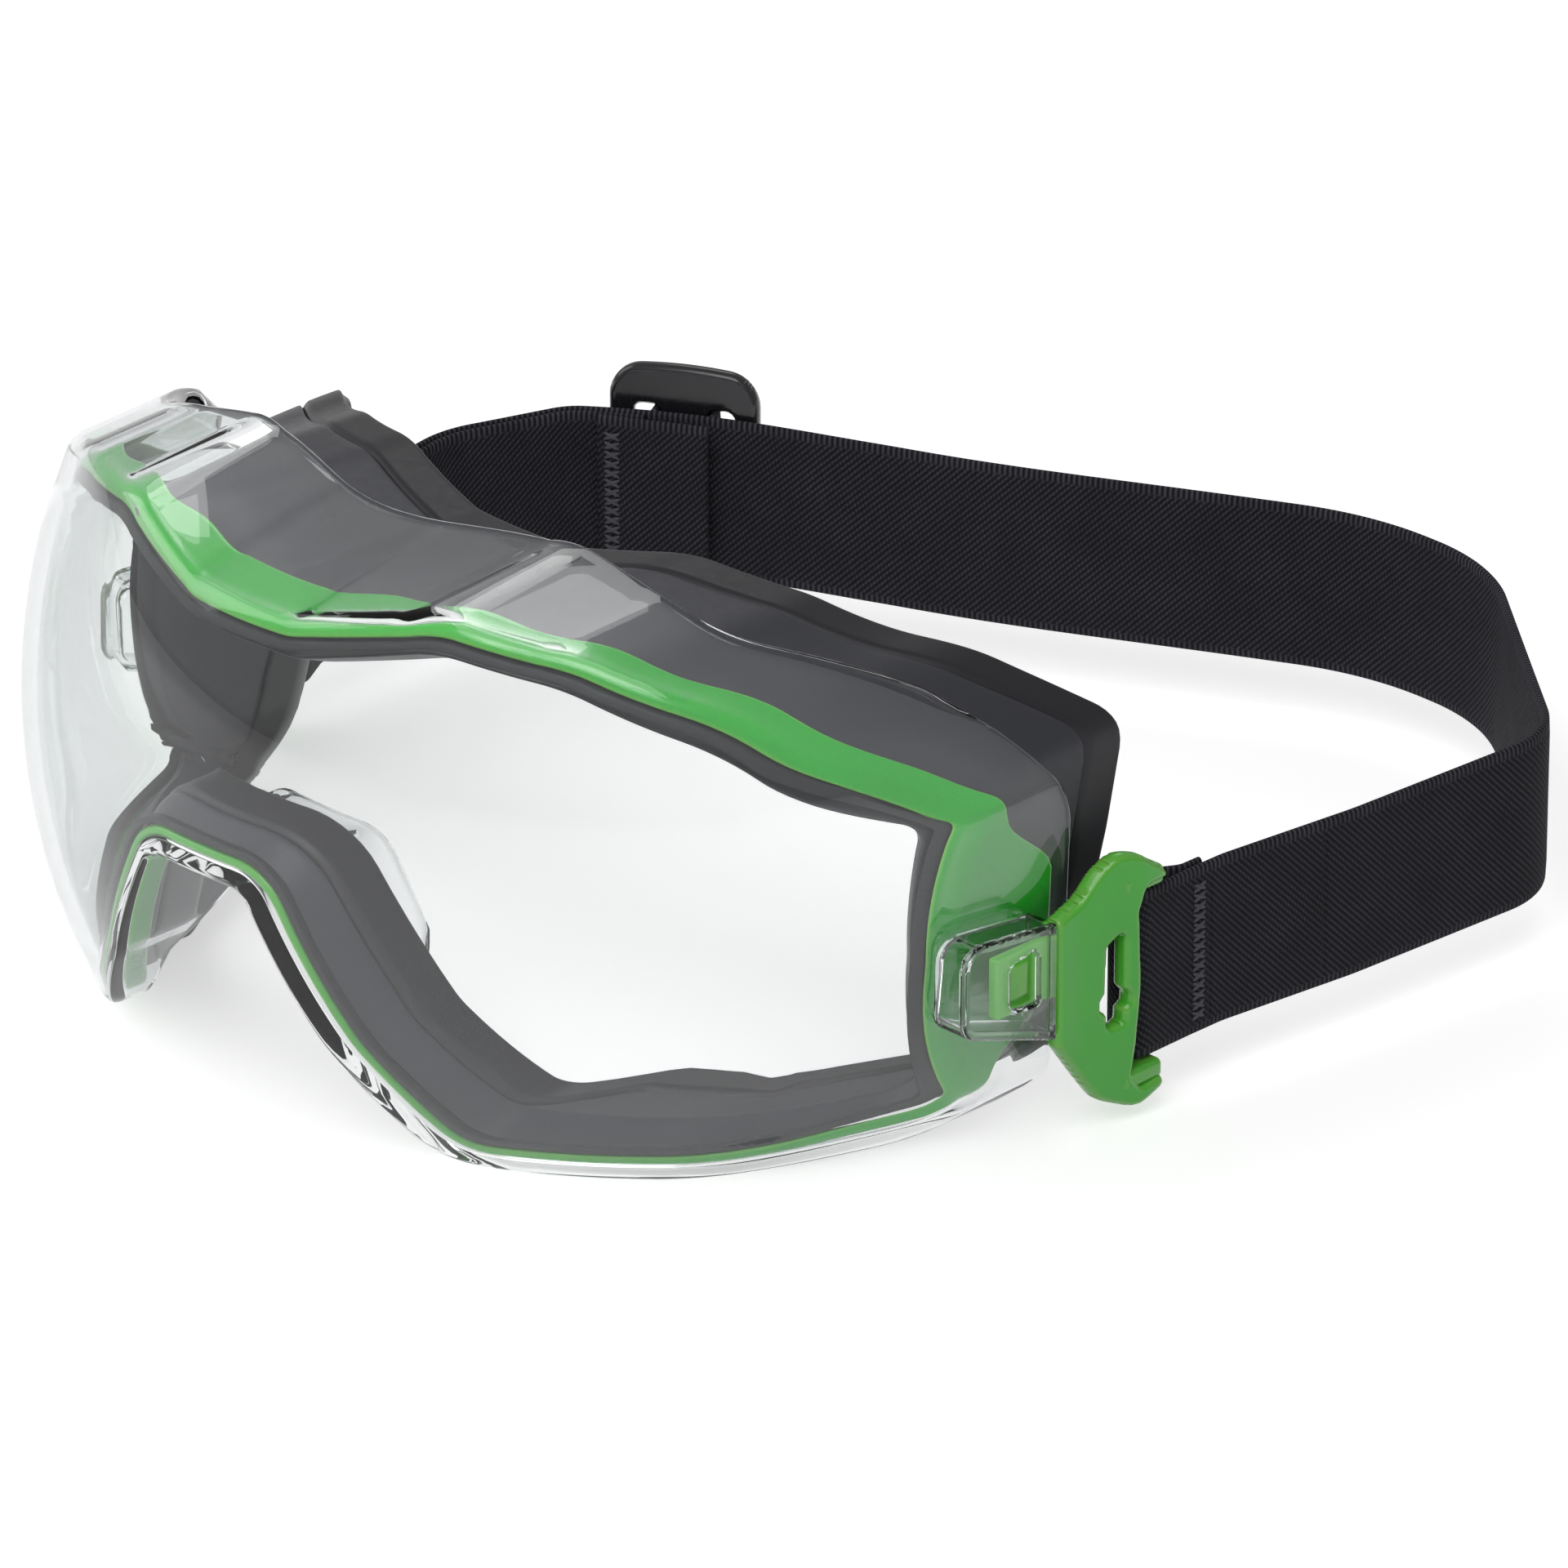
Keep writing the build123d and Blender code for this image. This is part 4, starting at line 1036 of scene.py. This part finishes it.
# ---------------------------------------------------------------- clips
def clip_parts(strap):
    """The left clip: a plate with rounded edges and a keyhole, bent outwards to the rear, whose top and
    foot hook back over the strap bar; with its tongue, latch and bar."""
    body, t = strap.body, strap_sizes().clip / MM
    face = body.pocket_x + 0.6 - t / 2
    z = strap.height
    outer = rounded(np.array([
        (-10.7, 33.2, 0.8), (-6.0, 34.9, 6), (-3.4, 38.0, 5), (0.2, 40.3, 4), (3.6, 39.2, 4),
        (8.6, 35.4, 0.9),
        (8.0, 34.6, 0.6), (4.4, 34.6, 1.6), (3.0, 31.0, 3), (3.4, 20.0, 40), (2.2, 6.6, 2), (3.8, 4.6, 1.2),
        (8.2, 5.2, 0.8), (8.0, 3.4, 1.2), (3.0, 1.6, 4), (-3.0, 4.2, 6), (-7.0, 9.6, 8), (-10.7, 14.6, 1.2)]))
    key = rounded(np.array([
        (-2.3, z - 0.2, 0.5), (-2.1, z + 6.6, 0.7), (0.6, z + 8.6, 0.7), (0.6, z - 0.2, 0.5),
        (1.4, z - 1.2, 0.9), (1.4, z - 2.6, 0.9), (0.5, z - 3.4, 0.4), (0.4, z - 5.4, 0.7),
        (-2.0, z - 5.4, 0.7), (-2.1, z - 3.4, 0.4),
        (-3.1, z - 2.6, 0.9), (-3.1, z - 1.2, 0.9)]))

    def place(p, q, h):
        share = np.clip((p + 8) / 10, 0, 1.6)
        lean = 2.4 * share * share / (0.4 + share) * 1.1
        hook = 0.10 * np.clip(p - 3.2, 0, 8) ** 1.5
        crown = 0.5 * np.clip((np.abs(q - z) - 9) / 8, 0, 1)
        return np.stack([face + lean - hook - crown + h, p, q], -1)

    return [
        plate(outer, [key], t, 1.0, 0.32, place),
        rounded_box((body.w + 1.2 + 0.3 + 0.9, -16.2, 26.8), (1.8, 11.4, 9.0), 0.5),
        rounded_box((body.w + 3.4, -17.4, 26.8), (0.6, 3.5, 5.0), 0.25),
        rounded_box((strap.bar_x, strap.bar_y, z), (3.4, 3.4, 27.4), 1.69),
        rounded_box((strap.bar_x + 1.1, 4.3, z + 14.5), (6.0, 8.0, 3.0), 1.0),
        rounded_box((strap.bar_x + 1.1, 4.3, z - 14.5), (6.0, 8.0, 3.0), 1.0),
    ]


class GOGGLES_OT_clips(Builder, bpy.types.Operator):
    """Make the two snap-in strap clips"""

    bl_idname = "goggles.clips"
    bl_label = "Strap clips"

    def build(self):
        strap, c = Strap(), finish_colours()
        green = gloss_plastic("green_clip_gloss", c.clip, c.highlight_green)
        left = clip_parts(strap)
        make("strap_clip_left", left, LEFT_CLIP, ["clip_left"], green, crease=50)
        right = [mirrored(part) for part in left]
        make("strap_clip_right", right, RIGHT_CLIP, ["clip_right"], green, crease=50)


# ---------------------------------------------------------------- stage
class GOGGLES_OT_stage(Builder, bpy.types.Operator):
    """Lay the pale floor, light the studio and set the camera"""

    bl_idname = "goggles.stage"
    bl_label = "Studio"

    def build(self):
        scene = bpy.context.scene
        scene.view_settings.view_transform = "Standard"
        self.floor()
        self.world(scene)
        self.lamp("key", (0.45, -0.75, 1.15), 0.9, 7.5)
        self.lamp("fill", (-1.0, -0.5, 0.7), 0.9, 3.5)
        self.lamp("window", (-0.62, 0.69, 0.90), 0.36, 0.9)
        camera = bpy.data.objects.new("camera", bpy.data.cameras.new("camera"))
        scene.collection.objects.link(camera)
        scene.camera = camera
        azimuth, elevation, distance = math.radians(45), math.radians(25), 1.8
        away = Vector((math.sin(azimuth) * math.cos(elevation), -math.cos(azimuth) * math.cos(elevation),
                       math.sin(elevation)))
        camera.location = Vector((0.0592, -0.0496, 0.0527)) + away * distance
        camera.rotation_euler = away.to_track_quat("Z", "Y").to_euler()
        camera.data.sensor_width = 36.0
        camera.data.lens = 310.5
        camera.data.clip_start, camera.data.clip_end = 0.05, 20.0

    def floor(self):
        n = Nodes("pale_floor")
        n.set(Base_Color=four(finish_colours().floor), Roughness=0.9)
        path = n.add("ShaderNodeLightPath")
        seen = n.math("MAXIMUM", path.outputs["Is Camera Ray"], path.outputs["Is Transmission Ray"])
        seen = n.math("MAXIMUM", seen, path.outputs["Is Glossy Ray"])
        n.set(Emission_Color=(1, 1, 1, 1), Emission_Strength=n.math("MULTIPLY", seen, 0.55))
        mesh = bpy.data.meshes.new("floor")
        w = 6.0
        mesh.from_pydata([(-w, -w, 0), (w, -w, 0), (w, w, 0), (-w, w, 0)], [], [(0, 1, 2, 3)])
        floor = bpy.data.objects.new("floor", mesh)
        bpy.context.scene.collection.objects.link(floor)
        mesh.materials.append(n.material)

    def world(self, scene):
        world = bpy.data.worlds.new("studio")
        world.use_nodes = True
        scene.world = world
        tree = world.node_tree
        back = tree.nodes["Background"]
        path = tree.nodes.new("ShaderNodeLightPath")
        top = tree.nodes.new("ShaderNodeMath")
        top.operation = "MAXIMUM"
        tree.links.new(path.outputs["Is Camera Ray"], top.inputs[0])
        tree.links.new(path.outputs["Is Transmission Ray"], top.inputs[1])
        level = tree.nodes.new("ShaderNodeMapRange")
        level.inputs["To Min"].default_value = 0.32
        level.inputs["To Max"].default_value = 1.0
        tree.links.new(top.outputs[0], level.inputs["Value"])
        back.inputs["Color"].default_value = (1, 1, 1, 1)
        tree.links.new(level.outputs[0], back.inputs["Strength"])

    def lamp(self, name, place, size, power):
        """A square area lamp that faces the object's middle."""
        data = bpy.data.lights.new(name, "AREA")
        data.energy, data.size = power, size
        lamp = bpy.data.objects.new(name, data)
        bpy.context.scene.collection.objects.link(lamp)
        lamp.location = place
        lamp.rotation_euler = (Vector((0, 0, 0.04)) - Vector(place)).to_track_quat("-Z", "Y").to_euler()


class GOGGLES_PT_panel(bpy.types.Panel):
    """Sizes, colours and steps of the goggles"""

    bl_idname = "GOGGLES_PT_panel"
    bl_label = "Safety goggles"
    bl_space_type = "VIEW_3D"
    bl_region_type = "UI"
    bl_category = "Goggles"

    def draw(self, context):
        for group in (shell_sizes(), strap_sizes(), finish_colours()):
            box = self.layout.box()
            for key in group.__annotations__:
                box.prop(group, key)
        for step in STEPS:
            self.layout.operator(step.bl_idname)


GROUPS = {
    "goggles_shell": GOGGLES_PG_shell,
    "goggles_strap": GOGGLES_PG_strap,
    "goggles_finish": GOGGLES_PG_finish,
}
STEPS = (GOGGLES_OT_lens, GOGGLES_OT_gasket, GOGGLES_OT_rail, GOGGLES_OT_skirt, GOGGLES_OT_clips,
         GOGGLES_OT_strap, GOGGLES_OT_stitching, GOGGLES_OT_slider, GOGGLES_OT_stage)


def register():
    for group in (*GROUPS.values(), *STEPS, GOGGLES_PT_panel):
        bpy.utils.register_class(group)
    for name, group in GROUPS.items():
        setattr(bpy.types.Scene, name, PointerProperty(type=group))


def unregister():
    for name in GROUPS:
        delattr(bpy.types.Scene, name)
    for group in (GOGGLES_PT_panel, *reversed(STEPS), *reversed(list(GROUPS.values()))):
        bpy.utils.unregister_class(group)


def main():
    register()
    for step in STEPS:
        family, name = step.bl_idname.split(".")
        getattr(getattr(bpy.ops, family), name)()


if __name__ == "__main__":
    main()
